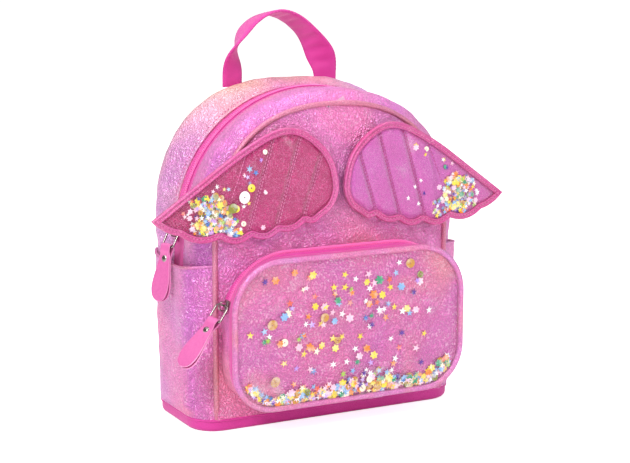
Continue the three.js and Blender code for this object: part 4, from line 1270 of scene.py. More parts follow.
thicken(frontTape, 0.9, liningCloth)
smoothShade(frontTape)
slotFor(frontTape, "hot_pink_fabric")
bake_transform(frontTape)
lipRing = partOfRing(pocketRing(pocket["rear"], 0.5), True)
lipLower = [Vector((x, pocket["zipY"], z)) for x, z, _, _ in lipRing]


def fromPocketCentre(p):
    reach = pocket["rear"]["half"] - pocket["rear"]["topRadius"]
    x = p.x - clamp(p.x, -reach, reach)
    z = p.z - min(p.z, pocket["rear"]["top"] - pocket["rear"]["topRadius"])
    return (x, 0, z) if abs(x) + abs(z) > 1e-3 else (0, 0, 1)


teethAlong("pocket_zip_coil_rear", lipLower, fromPocketCentre, pocket["zipPitch"], 0, 1.2, "bag_body",
           "pocket_zip_half_rear")
teethAlong("pocket_zip_coil_front", lipLower, fromPocketCentre, pocket["zipPitch"], 1, -1.2, "pocket_lid",
           "pocket_zip_half_front")

pipeLine = [Vector((x, pocket["faceY"], z)) for x, z, _, _ in faceRing]
pocketPipe = sweptPiece("pocket_piping", evenPoints(pipeLine, 300), roundSection(pocket["pipe"], 12),
                        foilPipe, closed=True)
smoothShade(pocketPipe, 60)
slotFor(pocketPipe, "foil_pink", "pocket_piping_lower", "pocket_piping_upper")
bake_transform(pocketPipe)
lapLine = [Vector((x, pocket["faceY"], pocket["face"]["bottom"])) for x in (14, 17, 20, 23, 26)]
lap = sweptPiece("pocket_piping_lap", lapLine, roundSection(pocket["pipe"] + 0.35, 12), foilPipe)
smoothShade(lap, 60)
slotFor(lap, "foil_pink")
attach(lap, "bag_body")


def faceSpread(u, v, inset):
    # u and v spread over the pocket's face inside its piping
    look = pocket["face"]
    half, top, bottom = look["half"] - inset, look["top"] - inset, look["bottom"] + inset
    topR, botR = look["topRadius"] - inset, look["bottomRadius"] - inset
    z = mix(bottom, top, 0.5 - 0.5 * math.cos(math.pi * v))
    past, radius = (bottom + botR - z, botR) if z < bottom + botR else (z - top + topR, topR)
    reach = half if past <= 0 else half - radius + math.sqrt(max(0, radius ** 2 - past ** 2))
    return reach * math.sin((u - 0.5) * math.pi), z


def faceSwell(x, z):
    middle = (129.6 + 24.9) / 2
    return 1 - min(1, abs(x / 93.1) ** 4 + abs((z - middle) / (129.6 - middle)) ** 4)


def satinDepth(x, z):
    # gathered satin: long soft folds on the left, quilted diagonal seams on the right
    inner = faceSwell(x, z)
    fold = noise.noise(Vector((x * 0.022 + z * 0.012, z * 0.055 - x * 0.01, 4.2)))
    fine = noise.noise(Vector((x * 0.07, z * 0.16 - x * 0.03, 9.1)))
    wave = (1.0 * fold + 0.45 * fine) * inner * (1 - 0.75 * ease((x - 5) / 40))
    quilt = min(abs(x - k - (z - 78) * quiltLook["lean"]) for k in quiltLook["at"])
    dip = 0.9 * math.exp(-(quilt / 1.8) ** 2) * inner * ease((x + 8) / 14)
    return pocket["backingY"] - pocket["backingSwell"] * inner - wave + dip


quiltLook = {"at": (14, 34, 54, 74), "lean": 0.55}


def backingPlace(u, v):
    x, z = faceSpread(u, v, pocket["inset"])
    return (x, satinDepth(x, z), z)


def filmPlace(u, v):
    x, z = faceSpread(u, v, pocket["inset"])
    ripple = 0.35 * noise.noise(Vector((x * 0.03, z * 0.05, 1.7))) * faceSwell(x, z)
    return (x, pocket["filmY"] - pocket["filmSwell"] * faceSwell(x, z) - ripple, z)


pocketBacking = gridPiece("pocket_backing_satin", 150, 96, backingPlace, windowSatin, core=(0, 0, 78))
closeSeams(pocketBacking)
thicken(pocketBacking, 1.2, liningCloth)
smoothShade(pocketBacking, 60)
slotFor(pocketBacking, "orchid_satin", "pocket_backing_lower", "pocket_backing_upper")
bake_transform(pocketBacking)
pocketFilm = gridPiece("pocket_window_film", 96, 64, filmPlace, clearVinyl, core=(0, 0, 78))
closeSeams(pocketFilm)
thicken(pocketFilm, 0.5)
smoothShade(pocketFilm, 60)
slotFor(pocketFilm, "clear_vinyl", "pocket_window_lower", "pocket_window_upper")
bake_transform(pocketFilm)

# quilting stitches through the satin
for k, at in enumerate(quiltLook["at"]):
    line = []
    for i in range(60):
        z = mix(30, 127, i / 59)
        x = at + (z - 78) * quiltLook["lean"]
        if -2 < x < 90 and faceSwell(x, z) > 0.12:
            line.append(Vector((x, satinDepth(x, z) - 0.15, z)))
    stitchesAlong(f"satin_stitches_{k + 1}", line, [(0, -1, 0)], 3.1, ("bag_body", "pocket_lid", lidBend),
                  size=0.8, material=stitchThread)

# confetti: a drift along the bottom of the window and shapes clinging higher up
draw = random.Random(21)
driftLook = {"count": 360, "low": 25.6, "scatter": 120}
spots = []
while len(spots) < driftLook["count"]:
    x = draw.uniform(-86, 86)
    floorZ = driftLook["low"] + 32 - math.sqrt(max(0, 32 ** 2 - max(0, abs(x) - 61) ** 2))
    crest = 11 + 5 * math.sin(x * 0.045 + 1.2) + 3 * math.sin(x * 0.11) + 4 * ease((abs(x) - 62) / 20)
    z = floorZ + crest * draw.random() ** 1.15
    depthShare = draw.uniform(0.12, 0.88)
    filmAt = pocket["filmY"] - pocket["filmSwell"] * faceSwell(x, z) + 1.0
    y = mix(satinDepth(x, z) - 0.4, filmAt, depthShare)
    spots.append((x, y, z, None, None, 1.1))
drift = confettiPiece("pocket_confetti_drift", spots, 31, confettiFoil)
slotFor(drift, "confetti_mix", "pocket_confetti")
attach(drift, "bag_body")
spots = []
while len(spots) < driftLook["scatter"]:
    x, z = draw.gauss(-4, 44), mix(38, 124, draw.random() ** 0.8)
    if faceSwell(x, z) < 0.22:
        continue
    spots.append((x, satinDepth(x, z) - draw.uniform(0.6, 1.5), z, None, None, 1.2))
scatter = confettiPiece("pocket_confetti_scatter", spots, 32, confettiFoil)
slotFor(scatter, "confetti_mix")
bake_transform(scatter)

print("stage: wings")
wing = {
    "crown": [(149, 21), (118, 43), (83, 67), (52, 82.2), (30, 79.9), (10, 62.6), (2.4, 39), (7, 23),
              (18, 14.4)],
    "notches": [(18, 14.4), (30, 12.7), (51, 7.3), (73, 4.9), (98, 5.2), (128, 9.3), (149, 21)],
    "lobes": [2.4, 3.2, 4, 4.6, 4.4, 2],
    "seatY": -51.7, "rootLean": 0.04, "tipLean": 0.076, "foldX": 90,
    "columns": 150, "rows": 64, "puff": 2.0, "chamberX": 79,
    "channels": [((15.5, 64), (30, 18)), ((33, 77), (52, 12)), ((55, 76), (75, 9)), ((77, 65), (89, 34))],
}


def wingSeat(x):
    lean = wing["rootLean"] if x < wing["foldX"] else wing["tipLean"]
    return wing["seatY"] + lean * (x - wing["foldX"])


def wingOutline():
    # the crown's curve, then the scalloped lower edge, as (x, z) above the arch's middle
    points = [Vector(p) for p in curvePoints([(*p, 0) for p in wing["crown"]], 90)]
    for (ax, az), (bx, bz), dip in zip(wing["notches"], wing["notches"][1:], wing["lobes"]):
        chord = Vector((bx - ax, bz - az, 0))
        down = Vector((chord.y, -chord.x, 0)).normalized()
        for i in range(1, 13):
            share = i / 12
            points.append(Vector((ax, az, 0)) + chord * share + down * (4 * share * (1 - share) * dip))
    return points[:-1]


def inwardLine(points, by):
    moved = []
    for i, p in enumerate(points):
        before, after = points[i - 1], points[(i + 1) % len(points)]
        along = (after - before).normalized()
        moved.append(p + Vector((-along.y, along.x, 0)) * by)
    return moved


def spanAt(line, x):
    # lowest and highest height of a closed line at one x
    heights = []
    for a, b in zip(line, line[1:] + line[:1]):
        if (a.x - x) * (b.x - x) <= 0 and a.x != b.x:
            heights.append(mix(a.y, b.y, (x - a.x) / (b.x - a.x)))
    return (min(heights), max(heights)) if heights else None


def toSegment(x, z, ends):
    (ax, az), (bx, bz) = ends
    t = clamp(((x - ax) * (bx - ax) + (z - az) * (bz - az)) / ((bx - ax) ** 2 + (bz - az) ** 2))
    return math.hypot(x - mix(ax, bx, t), z - mix(az, bz, t))


wingLine = wingOutline()
wingRimLine = evenPoints(wingLine + wingLine[:1], 300)[:-1]


def wingSpans(inset):
    line = inwardLine(wingRimLine, inset)
    low, high = min(p.x for p in line), max(p.x for p in line)
    xs = [mix(low + 0.15, high - 0.4, 0.5 - 0.5 * math.cos(math.pi * i / wing["columns"]))
          for i in range(wing["columns"] + 1)]
    return [(x, *spanAt(line, x)) for x in xs]


def wingFillPlace(spans, depthAt, sign):
    def place(u, v):
        x, low, high = spans[round(u * wing["columns"])]
        z = mix(low, high, v)
        edge = min(z - low, high - z, x - spans[0][0], spans[-1][0] - x)
        return (sign * x, wingSeat(x) - depthAt(x, z, edge), bag["centreZ"] + z)
    return place


def faceDepth(x, z, edge):
    # quilted between the sewn channels, flat behind the confetti in the tip
    channel = min(toSegment(x, z, ends) for ends in wing["channels"])
    puff = wing["puff"] * ease(channel / 4.5) * ease(edge / 6)
    flat = ease((x - wing["chamberX"]) / 12)
    crease = 0.25 * noise.noise(Vector((x * 0.09, z * 0.13, 3.3))) * ease(edge / 6)
    return 1.7 + puff * (1 - flat) + crease


def filmDepth(x, z, edge):
    open_ = ease((x - wing["chamberX"] + 4) / 10)
    tuck = ease(edge / 5)
    ripple = 0.3 * noise.noise(Vector((x * 0.06, z * 0.1, 8.8))) * tuck
    return max(faceDepth(x, z, edge) + 0.35, mix(1.9, 3.95, open_ * tuck) + ripple)


def rimSection():
    # a bound edge with a small bead outside, a flat border and a sewn groove near its inner lip
    return [(0.9, 0.05), (0.1, 0.8), (-0.15, 1.9), (0.0, 3.5), (0.5, 4.3), (1.1, 4.35), (1.6, 3.75),
            (2.3, 3.7), (2.85, 3.3), (3.5, 3.9), (4.3, 4.1), (4.8, 3.6), (4.7, 1.7), (2.0, 0.0)]


def rimPlace(u, v, sign):
    count = len(wingRimLine)
    i = round(u * count) % count
    before, after = wingRimLine[i - 1], wingRimLine[(i + 1) % count]
    along = (after - before).normalized()
    section = rimSection()
    a, f = section[round(v * len(section)) % len(section)]
    x, z = wingRimLine[i].x - along.y * a, wingRimLine[i].y + along.x * a
    return (sign * x, wingSeat(x) - f, bag["centreZ"] + z)


def onWing(x, z, depth, sign):
    return Vector((sign * x, wingSeat(x) - depth, bag["centreZ"] + z))


channelThread = {"left": paleThread, "right": deepThread}
backSpans = wingSpans(1.2)
faceSpans = wingSpans(3.6)
filmSpans = wingSpans(4.2)
heapLook = {"count": 230, "loose": 26, "peak": 27}


def heapSpots(sign, seed):
    # most of the confetti lies in the tip, on the scalloped edge
    draw = random.Random(seed)
    line = inwardLine(wingRimLine, 6.3)
    spots = []
    while len(spots) < heapLook["count"] + heapLook["loose"]:
        loose = len(spots) >= heapLook["count"]
        x = draw.uniform(58, 116) if loose else draw.triangular(81, 126, 104)
        low, high = spanAt(line, x) or (0, 0)
        crest = heapLook["peak"] * ease((x - 74) / 26) * (1 - 0.35 * ease((x - 112) / 22))
        z = draw.uniform(low, high) if loose else low + min(high - low, crest) * draw.random() ** 1.25
        edge = min(z - low, high - z)
        if loose and min(toSegment(x, z, ends) for ends in wing["channels"]) < 2.5:
            continue
        near, far = faceDepth(x, z, edge + 6) + 0.25, filmDepth(x, z, edge + 6) - 0.3
        depth = min(far, near + 0.3) if loose else mix(near, far, draw.random())
        spots.append((sign * x, wingSeat(x) - depth, bag["centreZ"] + z, None, None, 0.85))
    return spots


for side, sign, glitter in (("left", -1, raspberryGlitter), ("right", 1, orchidSatin)):
    tip = f"wing_tip_{side}"
    fold = {"start": (sign * 0.084, 0, 0), "end": (sign * 0.096, 0, 0)}
    nodes = {part: [f"wing_{side}_{part}_{end}" for end in ("root", "tip")]
             for part in ("backing", "rim", "window")}
    back = gridPiece(f"wing_{side}_back", wing["columns"], 30,
                     wingFillPlace(backSpans, lambda x, z, e: 0.9, sign), rimFoil, core=(0, 0, 150))
    thicken(back, 0.8)
    face = gridPiece(f"wing_{side}_face", wing["columns"], wing["rows"],
                     wingFillPlace(faceSpans, faceDepth, sign), glitter, core=(0, 0, 150))
    thicken(face, 0.7)
    film = gridPiece(f"wing_{side}_film", wing["columns"], wing["rows"],
                     wingFillPlace(filmSpans, filmDepth, sign), clearVinyl, core=(0, 0, 150))
    thicken(film, 0.25)
    rim = gridPiece(f"wing_{side}_rim", len(wingRimLine), 14, lambda u, v, sign=sign: rimPlace(u, v, sign),
                    rimFoil, wrap=True)
    closeSeams(rim, outside=True)
    for piece, slotName, covered in (
            (back, "foil_pink", nodes["backing"]), (face, "raspberry_glitter", []),
            (film, "clear_vinyl", nodes["window"]), (rim, "foil_pink", nodes["rim"])):
        smoothShade(piece, 60)
        slotFor(piece, slotName, *covered)
        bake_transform(piece)
    sewn = ("front_flap", tip, fold)
    rimStitch = [onWing(p.x, p.y, 3.7, sign) for p in inwardLine(wingRimLine, 2.85)]
    stitchesAlong(f"wing_{side}_rim_stitches", rimStitch + rimStitch[:1], [(0, -1, 0)], 2.7, sewn, sink=-0.1,
                  size=1.0, material=paleThread)
    innerStitch = [onWing(p.x, p.y, filmDepth(p.x, p.y, 1.2), sign) for p in inwardLine(wingRimLine, 5.6)]
    stitchesAlong(f"wing_{side}_inner_stitches", innerStitch + innerStitch[:1], [(0, -1, 0)], 2.7, sewn,
                  sink=0.05, size=0.75)
    for k, ((ax, az), (bx, bz)) in enumerate(wing["channels"]):
        across = Vector((bz - az, ax - bx, 0)).normalized() * (0.8 if k < 3 else 0)
        for row in ((-1, 1) if k < 3 else (0,)):
            line = []
            for i in range(40):
                x, z = mix(ax, bx, i / 39) + row * across.x, mix(az, bz, i / 39) + row * across.y
                low, high = spanAt(inwardLine(wingRimLine, 5), x) or (0, 0)
                if low < z < high:
                    line.append(onWing(x, z, filmDepth(x, z, 9) + 0.1, sign))
            stitchesAlong(f"wing_{side}_channel_{k + 1}{'ab'[row > 0]}", line, [(0, -1, 0)], 2.6, sewn,
                          size=1.05, material=channelThread[side])
    spots = heapSpots(sign, 40 + sign)
    if side == "left":
        for x, z, kind, tint, size in ((79, 34.5, "disc", "white", 1.55), (73.5, 41, "sequin", "lemon", 1.25),
                                       (88, 27, "disc", "olive", 1.25), (85.5, 26.5, "sequin", "lemon", 1.15),
                                       (98, 30, "flower", "lemon", 1.05), (70, 52, "star", "blue", 1.1),
                                       (75, 55, "spark", "sky", 1.3)):
            spots.append((-x, wingSeat(x) - filmDepth(x, z, 9) - 0.25, bag["centreZ"] + z, kind, tint, size))
    heap = confettiPiece(f"wing_{side}_confetti_cut", spots, 50 + sign, confettiFoil)
    slotFor(heap, "confetti_mix", f"wing_{side}_confetti")
    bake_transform(heap)

print("stage: carry handle")
handle = {"halfSpan": 41, "rise": 53, "footZ": 248.5, "y": 46.2, "width": 24, "foot": 18, "thick": 2.4,
          "steps": 120, "skew": 5}


def handlePlace(u, v):
    # once round a flat padded strap's section, at a station from the right foot to the left foot
    turn = math.pi * u
    climb = math.sin(turn)
    x = handle["halfSpan"] * power(math.cos(turn), 1.1) - handle["skew"] * ease(climb)
    z = handle["footZ"] + 3.5 + handle["rise"] * climb - 3.5 * (1 - ease(climb / 0.15))
    half = mix(handle["foot"], handle["width"], ease(climb / 0.42)) / 2
    out = Vector((math.cos(turn), 0, math.sin(turn)))
    section = slabSection(2 * half, handle["thick"], crown=0.15)(0)
    a, b = section[round(v * len(section)) % len(section)]
    inner = a < 0
    pucker = 0
    if inner:
        pucker = 0.5 * math.sin(u * 95) * (1 - (b / half) ** 2) * ease((0.46 - abs(u - 0.28)) / 0.2)
    settle = 1 - ease(climb / 0.8)
    twist = 0.2 + 1.2 * settle + 0.15 * math.sin(2 * math.pi * u) * (1 - settle)
    lift = a + pucker
    return (x + out.x * (lift * math.cos(twist) - b * math.sin(twist)),
            handle["y"] + b * math.cos(twist) + lift * math.sin(twist),
            z + out.z * (lift * math.cos(twist) - b * math.sin(twist) * 0.9))


sectionCount = len(slabSection(handle["width"], handle["thick"])(0))
carryHandle = gridPiece("carry_handle_strap", handle["steps"], sectionCount, handlePlace, hotPink, wrap=True)
closeSeams(carryHandle, fill=True)
smoothShade(carryHandle, 50)
slotFor(carryHandle, "hot_pink_fabric", "carry_handle")
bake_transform(carryHandle)
for row, shareAt in (("front", 3), ("rear", 9)):
    seam, outs = [], []
    for i in range(4, 117):
        turn = math.pi * i / handle["steps"]
        p = Vector(handlePlace(i / handle["steps"], shareAt / sectionCount))
        seam.append(p)
        outs.append((math.cos(turn), 0, math.sin(turn)))
    stitchesAlong(f"handle_stitches_{row}", seam, outs, 3.0,
                  ("bag_body", "handle", {"start": (0, 0, 0.2495), "end": (0, 0, 0.262)}), size=0.8)

print("stage: shoulder straps")
strapLook = {"out": 48.3, "width": 35, "thick": 5.6, "steps": 90, "bind": 1.1, "webWidth": 19,
             "webThick": 1.5,
             "pad": [(29, 1.6, 238), (30, 4, 232), (31, 7, 222), (34, 16, 205), (38, 24, 184), (43, 28, 162),
                     (48, 28, 142), (54, 24, 124), (58.5, 18.5, 110)],
             "web": [(57.6, 19.5, 113), (59.8, 17.4, 107), (71.4, 10.4, 66.5), (83, 3.4, 26),
                     (84.8, 2.0, 19)]}


def ribbonFrame(route, i):
    before, after = route[max(0, i - 1)], route[min(len(route) - 1, i + 1)]
    along = (after - before).normalized()
    across = (Vector((1, 0, 0)) - along * along.x).normalized()
    return along, across, across.cross(along)


def ribbonPiece(name, route, section, material):
    count = len(section(0))

    def place(u, v):
        i = round(u * (len(route) - 1))
        along, across, out = ribbonFrame(route, i)
        a, b = section(u)[round(v * count) % count]
        return route[i] + out * a + across * b
    piece = gridPiece(name, len(route) - 1, count, place, material, wrap=True)
    closeSeams(piece, fill=True)
    return piece


for side, sign in (("left", -1), ("right", 1)):
    knots = [(sign * x, strapLook["out"] + y, z) for x, y, z in strapLook["pad"]]
    route = curvePoints(knots, strapLook["steps"])

    def padSection(share):
        narrow = ease(share / 0.06) * 0.3 + 0.7
        narrow *= 1 - 0.25 * ease((share - 0.93) / 0.07)
        return slabSection(strapLook["width"] * narrow, strapLook["thick"] * 0.5, crown=1.3)(share)
    pad = ribbonPiece(f"shoulder_strap_pad_{side}", route, padSection, foilPink)
    crumple(pad, 0.5, 70, 12 + sign)
    smoothShade(pad, 60)
    slotFor(pad, "foil_pink", f"shoulder_strap_{side}")
    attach(pad, "bag_body")
    for edge, way in (("inner", -1), ("outer", 1)):
        line, outs = [], []
        for i, p in enumerate(route):
            along, across, out = ribbonFrame(route, i)
            half = strapLook["width"] / 2 * (ease(i / len(route) / 0.06) * 0.3 + 0.7)
            half *= 1 - 0.25 * ease((i / len(route) - 0.93) / 0.07)
            line.append(p + across * half * way)
            outs.append(-out)
        bindRoute = sweptPiece(f"strap_binding_{side}_{edge}", line, roundSection(strapLook["bind"], 8),
                               hotPink, reference=(1, 0, 0))
        smoothShade(bindRoute, 60)
        slotFor(bindRoute, "hot_pink_fabric")
        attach(bindRoute, "bag_body")
        for face, lift in (("back", 1), ("front", -1)):
            seamLine = [q - ribbonFrame(route, i)[1] * 3.2 * way + ribbonFrame(route, i)[2] * lift * 2.5
                        for i, q in enumerate(line)]
            seamOuts = [ribbonFrame(route, i)[2] * lift for i in range(len(route))]
            stitchesAlong(f"strap_stitches_{side}_{edge}_{face}", seamLine, seamOuts, 3.2, "bag_body",
                          size=0.8)
    webKnots = [(sign * x, strapLook["out"] + y, z) for x, y, z in strapLook["web"]]
    webRoute = evenPoints([Vector(p) for p in webKnots], 60)
    web = ribbonPiece(f"strap_web_{side}", webRoute,
                      slabSection(strapLook["webWidth"], strapLook["webThick"], crown=0.1), webbingCloth)
    smoothShade(web, 60)
    slotFor(web, "hot_pink_fabric", f"strap_webbing_{side}")
    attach(web, "bag_body")
    anchorLook = {"corners": [(72, 25), (94, 25), (99, 11), (78, 11)], "depth": 49.3, "crown": 0.9}

    def anchorPlace(u, v, sign=sign):
        (ax, az), (bx, bz), (cx, cz), (dx, dz) = anchorLook["corners"]
        x = mix(mix(dx, cx, u), mix(ax, bx, u), v)
        z = mix(dz, az, v)
        full = ease(min(u, 1 - u) / 0.25) * ease(min(v, 1 - v) / 0.3)
        return (sign * x, anchorLook["depth"] + anchorLook["crown"] * full, z)
    anchor = gridPiece(f"strap_anchor_patch_{side}", 24, 16, anchorPlace, foilPink, core=(0, 0, 20))
    thicken(anchor, 1.2, offset=0)
    smoothShade(anchor, 60)
    slotFor(anchor, "foil_pink", f"strap_anchor_{side}")
    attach(anchor, "bag_body")
    boxRoute = ((0.15, 0.2), (0.85, 0.2), (0.85, 0.8), (0.15, 0.8),
                (0.15, 0.2), (0.85, 0.8), (0.85, 0.2), (0.15, 0.8))
    boxLine = [Vector(anchorPlace(a, b)) + Vector((0, 0.6, 0)) for a, b in boxRoute]
    stitchesAlong(f"strap_anchor_stitches_{side}", boxLine, [(0, 1, 0)], 2.8, "bag_body", size=0.8)

print("stage: sliders and pulls")
sliderLook = {"length": 10.5, "halfWidth": 3.2, "plate": 1.2, "clear": 2.0, "loop": 5.4, "bar": 1.2,
              "post": 1.0}
ringLook = {"wire": 1.55, "width": 12, "length": 13, "corner": 2.4, "points": 72}
tabLook = {"length": 41.5, "leather": 1.0, "fold": 2.1,
           "halfs": [(0, 4.6), (0.14, 5.0), (0.36, 6.6), (0.6, 8.7), (0.78, 9.0), (0.9, 7.4),
                     (0.965, 4.6), (1, 0.4)]}
rivetLook = {"down": 9, "radius": 2.6, "stem": 1.2}


def framePlace(origin, xAxis, yAxis):
    x = Vector(xAxis).normalized()
    y = Vector(yAxis)
    y = (y - x * y.dot(x)).normalized()
    return Matrix.Translation(Vector(origin)) @ Matrix((x, y, x.cross(y))).transposed().to_4x4()


def putInPlace(piece, place):
    # moves a piece modelled in its own millimetres to where it belongs
    shift = place.copy()
    shift.translation *= mm
    piece.data.transform(shift)
    piece.data.update()


def turnedPiece(name, profile, material, steps=24):
    # a profile of (radius, height) turned about z
    def place(u, v):
        radius, height = profile[round(v * (len(profile) - 1))]
        return (radius * math.cos(2 * math.pi * u), radius * math.sin(2 * math.pi * u), height)
    piece = gridPiece(name, steps, len(profile) - 1, place, material, wrap=True)
    closeSeams(piece, outside=True)
    return piece


def shapedBlock(name, size, centre, bevel, material, taper=1.0):
    clearSelection()
    bpy.ops.mesh.primitive_cube_add(size=1)
    piece = bpy.context.object
    piece.name = name
    piece.data.name = name
    for vertex in piece.data.vertices:
        narrow = taper if vertex.co.x > 0 else 1
        vertex.co = Vector((vertex.co.x * size[0] + centre[0], vertex.co.y * size[1] * narrow + centre[1],
                            vertex.co.z * size[2] + centre[2])) * mm
    piece.data.materials.append(material)
    soft = piece.modifiers.new("soft", "BEVEL")
    soft.width = bevel * mm
    soft.segments = 3
    applyModifiers(piece)
    return piece


def joinPieces(name, parts):
    clearSelection()
    for part in parts:
        part.select_set(True)
    bpy.context.view_layer.objects.active = parts[0]
    bpy.ops.object.join()
    joined = bpy.context.object
    joined.name = name
    joined.data.name = name
    smoothShade(joined, 40)
    return joined


def makeSlider(name, place):
    s = sliderLook
    high = s["clear"] + s["plate"]
    parts = []
    for way in (1, -1):
        parts.append(shapedBlock(f"{name}_plate", (s["length"], 2 * s["halfWidth"], s["plate"]),
                                 (0, 0, way * (s["clear"] + s["plate"] / 2)), 0.45, nickelMetal, 0.62))
        for side in (1, -1):
            flangeAt = (-s["length"] * 0.14, side * (s["halfWidth"] - 0.4), way * (s["clear"] - 0.25))
            parts.append(shapedBlock(f"{name}_flange", (s["length"] * 0.62, 0.7, 0.9), flangeAt,
                                     0.2, nickelMetal, 0.9))
    parts.append(shapedBlock(f"{name}_post", (3.4, s["post"], 2 * s["clear"] + 0.4), (1.2, 0, 0), 0.2,
                             nickelMetal))
    top = high + s["loop"] - s["bar"] / 2
    arch = curvePoints([(-3.4, 0, high - 0.3), (-3.3, 0, high + 1.8), (-2.4, 0, top - 0.5), (0, 0, top),
                        (2.4, 0, top - 0.5), (3.3, 0, high + 1.8), (3.4, 0, high - 0.3)], 28)
    parts.append(sweptPiece(f"{name}_bridge", arch, roundSection(s["bar"] / 2, 10, 1.7), nickelMetal))
    slider = joinPieces(name, parts)
    putInPlace(slider, place)
    return slider


def makeRing(name, place):
    r = ringLook
    halfX, halfY = r["width"] / 2, r["length"] / 2
    line = [Vector((*roundedPlan(halfX, halfY, r["corner"], i / r["points"]), 0)) - Vector((0, halfY, 0))
            for i in range(r["points"] + 1)]
    ring = sweptPiece(name, line, roundSection(r["wire"] / 2, 12), nickelMetal,
                      reference=(0, 0, 1), closed=True)
    smoothShade(ring, 60)
    putInPlace(ring, place)
    return ring


def tabHalf(share):
    return throughKnots(tabLook["halfs"], clamp(share))[0]


def makeTab(name, place, bow, twist):
    # one strip of leather folded over the ring, its two leaves closed by the rivet
    t = tabLook
    leaf = t["leather"] / 2 + 0.15
    foldSteps, leafSteps = 12, 40
    total = foldSteps + 2 * leafSteps

    def leafPoint(share, front):
        y = -share * t["length"]
        grip = ease((share - 0.06) / 0.12)
        open_ = 0.8 * ease((share - 0.45) / 0.5)
        lift = mix(t["fold"], leaf, grip) + open_
        return y, lift * (1 if front else -1)

    def place_(u, v):
        k = round(v * total)
        if k < leafSteps:
            share = 1 - k / leafSteps
            y, lift = leafPoint(share, True)
        elif k <= leafSteps + foldSteps:
            turn = math.pi * (k - leafSteps) / foldSteps
            share, y, lift = 0.0, t["fold"] * math.sin(turn), t["fold"] * math.cos(turn)
        else:
            share = (k - leafSteps - foldSteps) / leafSteps
            y, lift = leafPoint(share, False)
        x = tabHalf(share) * math.sin((u - 0.5) * math.pi)
        bend = bow * math.sin(math.pi * share * 0.9) + twist * x * share / 9
        return (x, y, lift + bend)
    tab = gridPiece(name, 20, total, place_, pullLeather)
    makeActive(tab)
    thicken(tab, t["leather"], offset=0)
    smoothShade(tab, 50)
    putInPlace(tab, place)
    return tab, place_


def tabStitches(name, place, bow, twist, body):
    line = []
    shares = [0.16 + 0.8 * i / 30 for i in range(31)]
    for way, order in ((1, shares), (-1, list(reversed(shares)))):
        for share in order:
            x = way * max(0.2, tabHalf(share) - 1.3)
            y = -min(share * tabLook["length"], tabLook["length"] - 1.6)
            lift = tabLook["leather"] + 0.2 + 0.8 * ease((share - 0.45) / 0.5)
            bent = lift + bow * math.sin(math.pi * share * 0.9) + twist * x * share / 9
            line.append(place @ Vector((x, y, bent)))
    out = place.to_3x3() @ Vector((0, 0, 1))
    return stitchesAlong(name, line, [out], 2.5, body, size=0.72)


def makePull(prefix, settings):
    turn = math.radians(settings["angle"])
    out = Vector((math.cos(turn), 0, math.sin(turn)))
    along = Vector((-math.sin(turn), 0, math.cos(turn)))
    centre = Vector((settings["centre"][0], settings["y"], settings["centre"][1]))
    at = centre + out * settings["radius"]
    slider = makeSlider(f"{prefix}_slider_metal", framePlace(at, along, (0, -1, 0)))
    slotFor(slider, "nickel", f"{prefix}_slider")
    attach(slider, f"{prefix}_zip_slider")
    loopMiddle = sliderLook["clear"] + sliderLook["plate"] + (sliderLook["loop"] - sliderLook["bar"]) / 2
    ringTop = at + out * loopMiddle
    up = -Vector(settings["ringDown"]).normalized()
    ring = makeRing(f"{prefix}_ring_wire",
                    framePlace(ringTop + up * ringLook["wire"] / 2, settings["across"], up))
    slotFor(ring, "nickel", f"{prefix}_pull_ring")
    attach(ring, f"{prefix}_ring")
    tabTop = ringTop + up * (ringLook["wire"] / 2 - ringLook["length"])
    place = framePlace(tabTop, settings["across"], -Vector(settings["tabDown"]))
    tab, _ = makeTab(f"{prefix}_tab_leather", place, settings["bow"], settings["twist"])
    slotFor(tab, "pull_leather", f"{prefix}_pull_tab")
    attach(tab, f"{prefix}_tab")
    tabStitches(f"{prefix}_tab_stitches", place, settings["bow"], settings["twist"], f"{prefix}_tab")
    face = tabLook["leather"] + 0.2
    wide, stem = rivetLook["radius"], rivetLook["stem"]
    dome = [(0, face + 1.0), (0.9, face + 0.95), (1.7, face + 0.7), (2.3, face + 0.35), (wide, face),
            (wide - 0.05, face - 0.2), (stem, face - 0.3), (stem, -face + 0.3), (wide - 0.05, -face + 0.2),
            (wide, -face), (2.0, -face - 0.5), (1.0, -face - 0.75), (0, -face - 0.8)]
    rivet = turnedPiece(f"{prefix}_tab_rivet", dome, nickelMetal)
    smoothShade(rivet, 50)
    share = rivetLook["down"] / tabLook["length"]
    putInPlace(rivet, place @ Matrix.Translation((0, -rivetLook["down"],
                                                  settings["bow"] * math.sin(math.pi * share * 0.9))))
    slotFor(rivet, "nickel", f"{prefix}_pull_rivet")
    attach(rivet, f"{prefix}_tab")


makePull("main", {"centre": (0, bag["centreZ"]), "radius": bag["radius"], "angle": 178.5, "y": bag["zipY"],
                  "across": (0.33, -0.944, 0), "ringDown": (-0.5, -0.175, -0.85),
                  "tabDown": (-0.2, -0.07, -0.97), "bow": 0.8, "twist": 0.5})
makePull("pocket", {"centre": (-45, 86), "radius": 49, "angle": 165.5, "y": pocket["zipY"],
                    "across": (0.3, -0.95, -0.12), "ringDown": (-0.6, -0.1, -0.8),
                    "tabDown": (-0.66, -0.1, -0.75), "bow": 1.6, "twist": 0.8})

# the solids whose shape is already right keep it and take a finish
for node, finish in (("strap_adjuster_left", adjusterPlastic), ("strap_adjuster_right", adjusterPlastic),
                     ("base_board", boardFibre)):
    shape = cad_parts[node]
    for socket in shape.material_slots:
        socket.material = finish

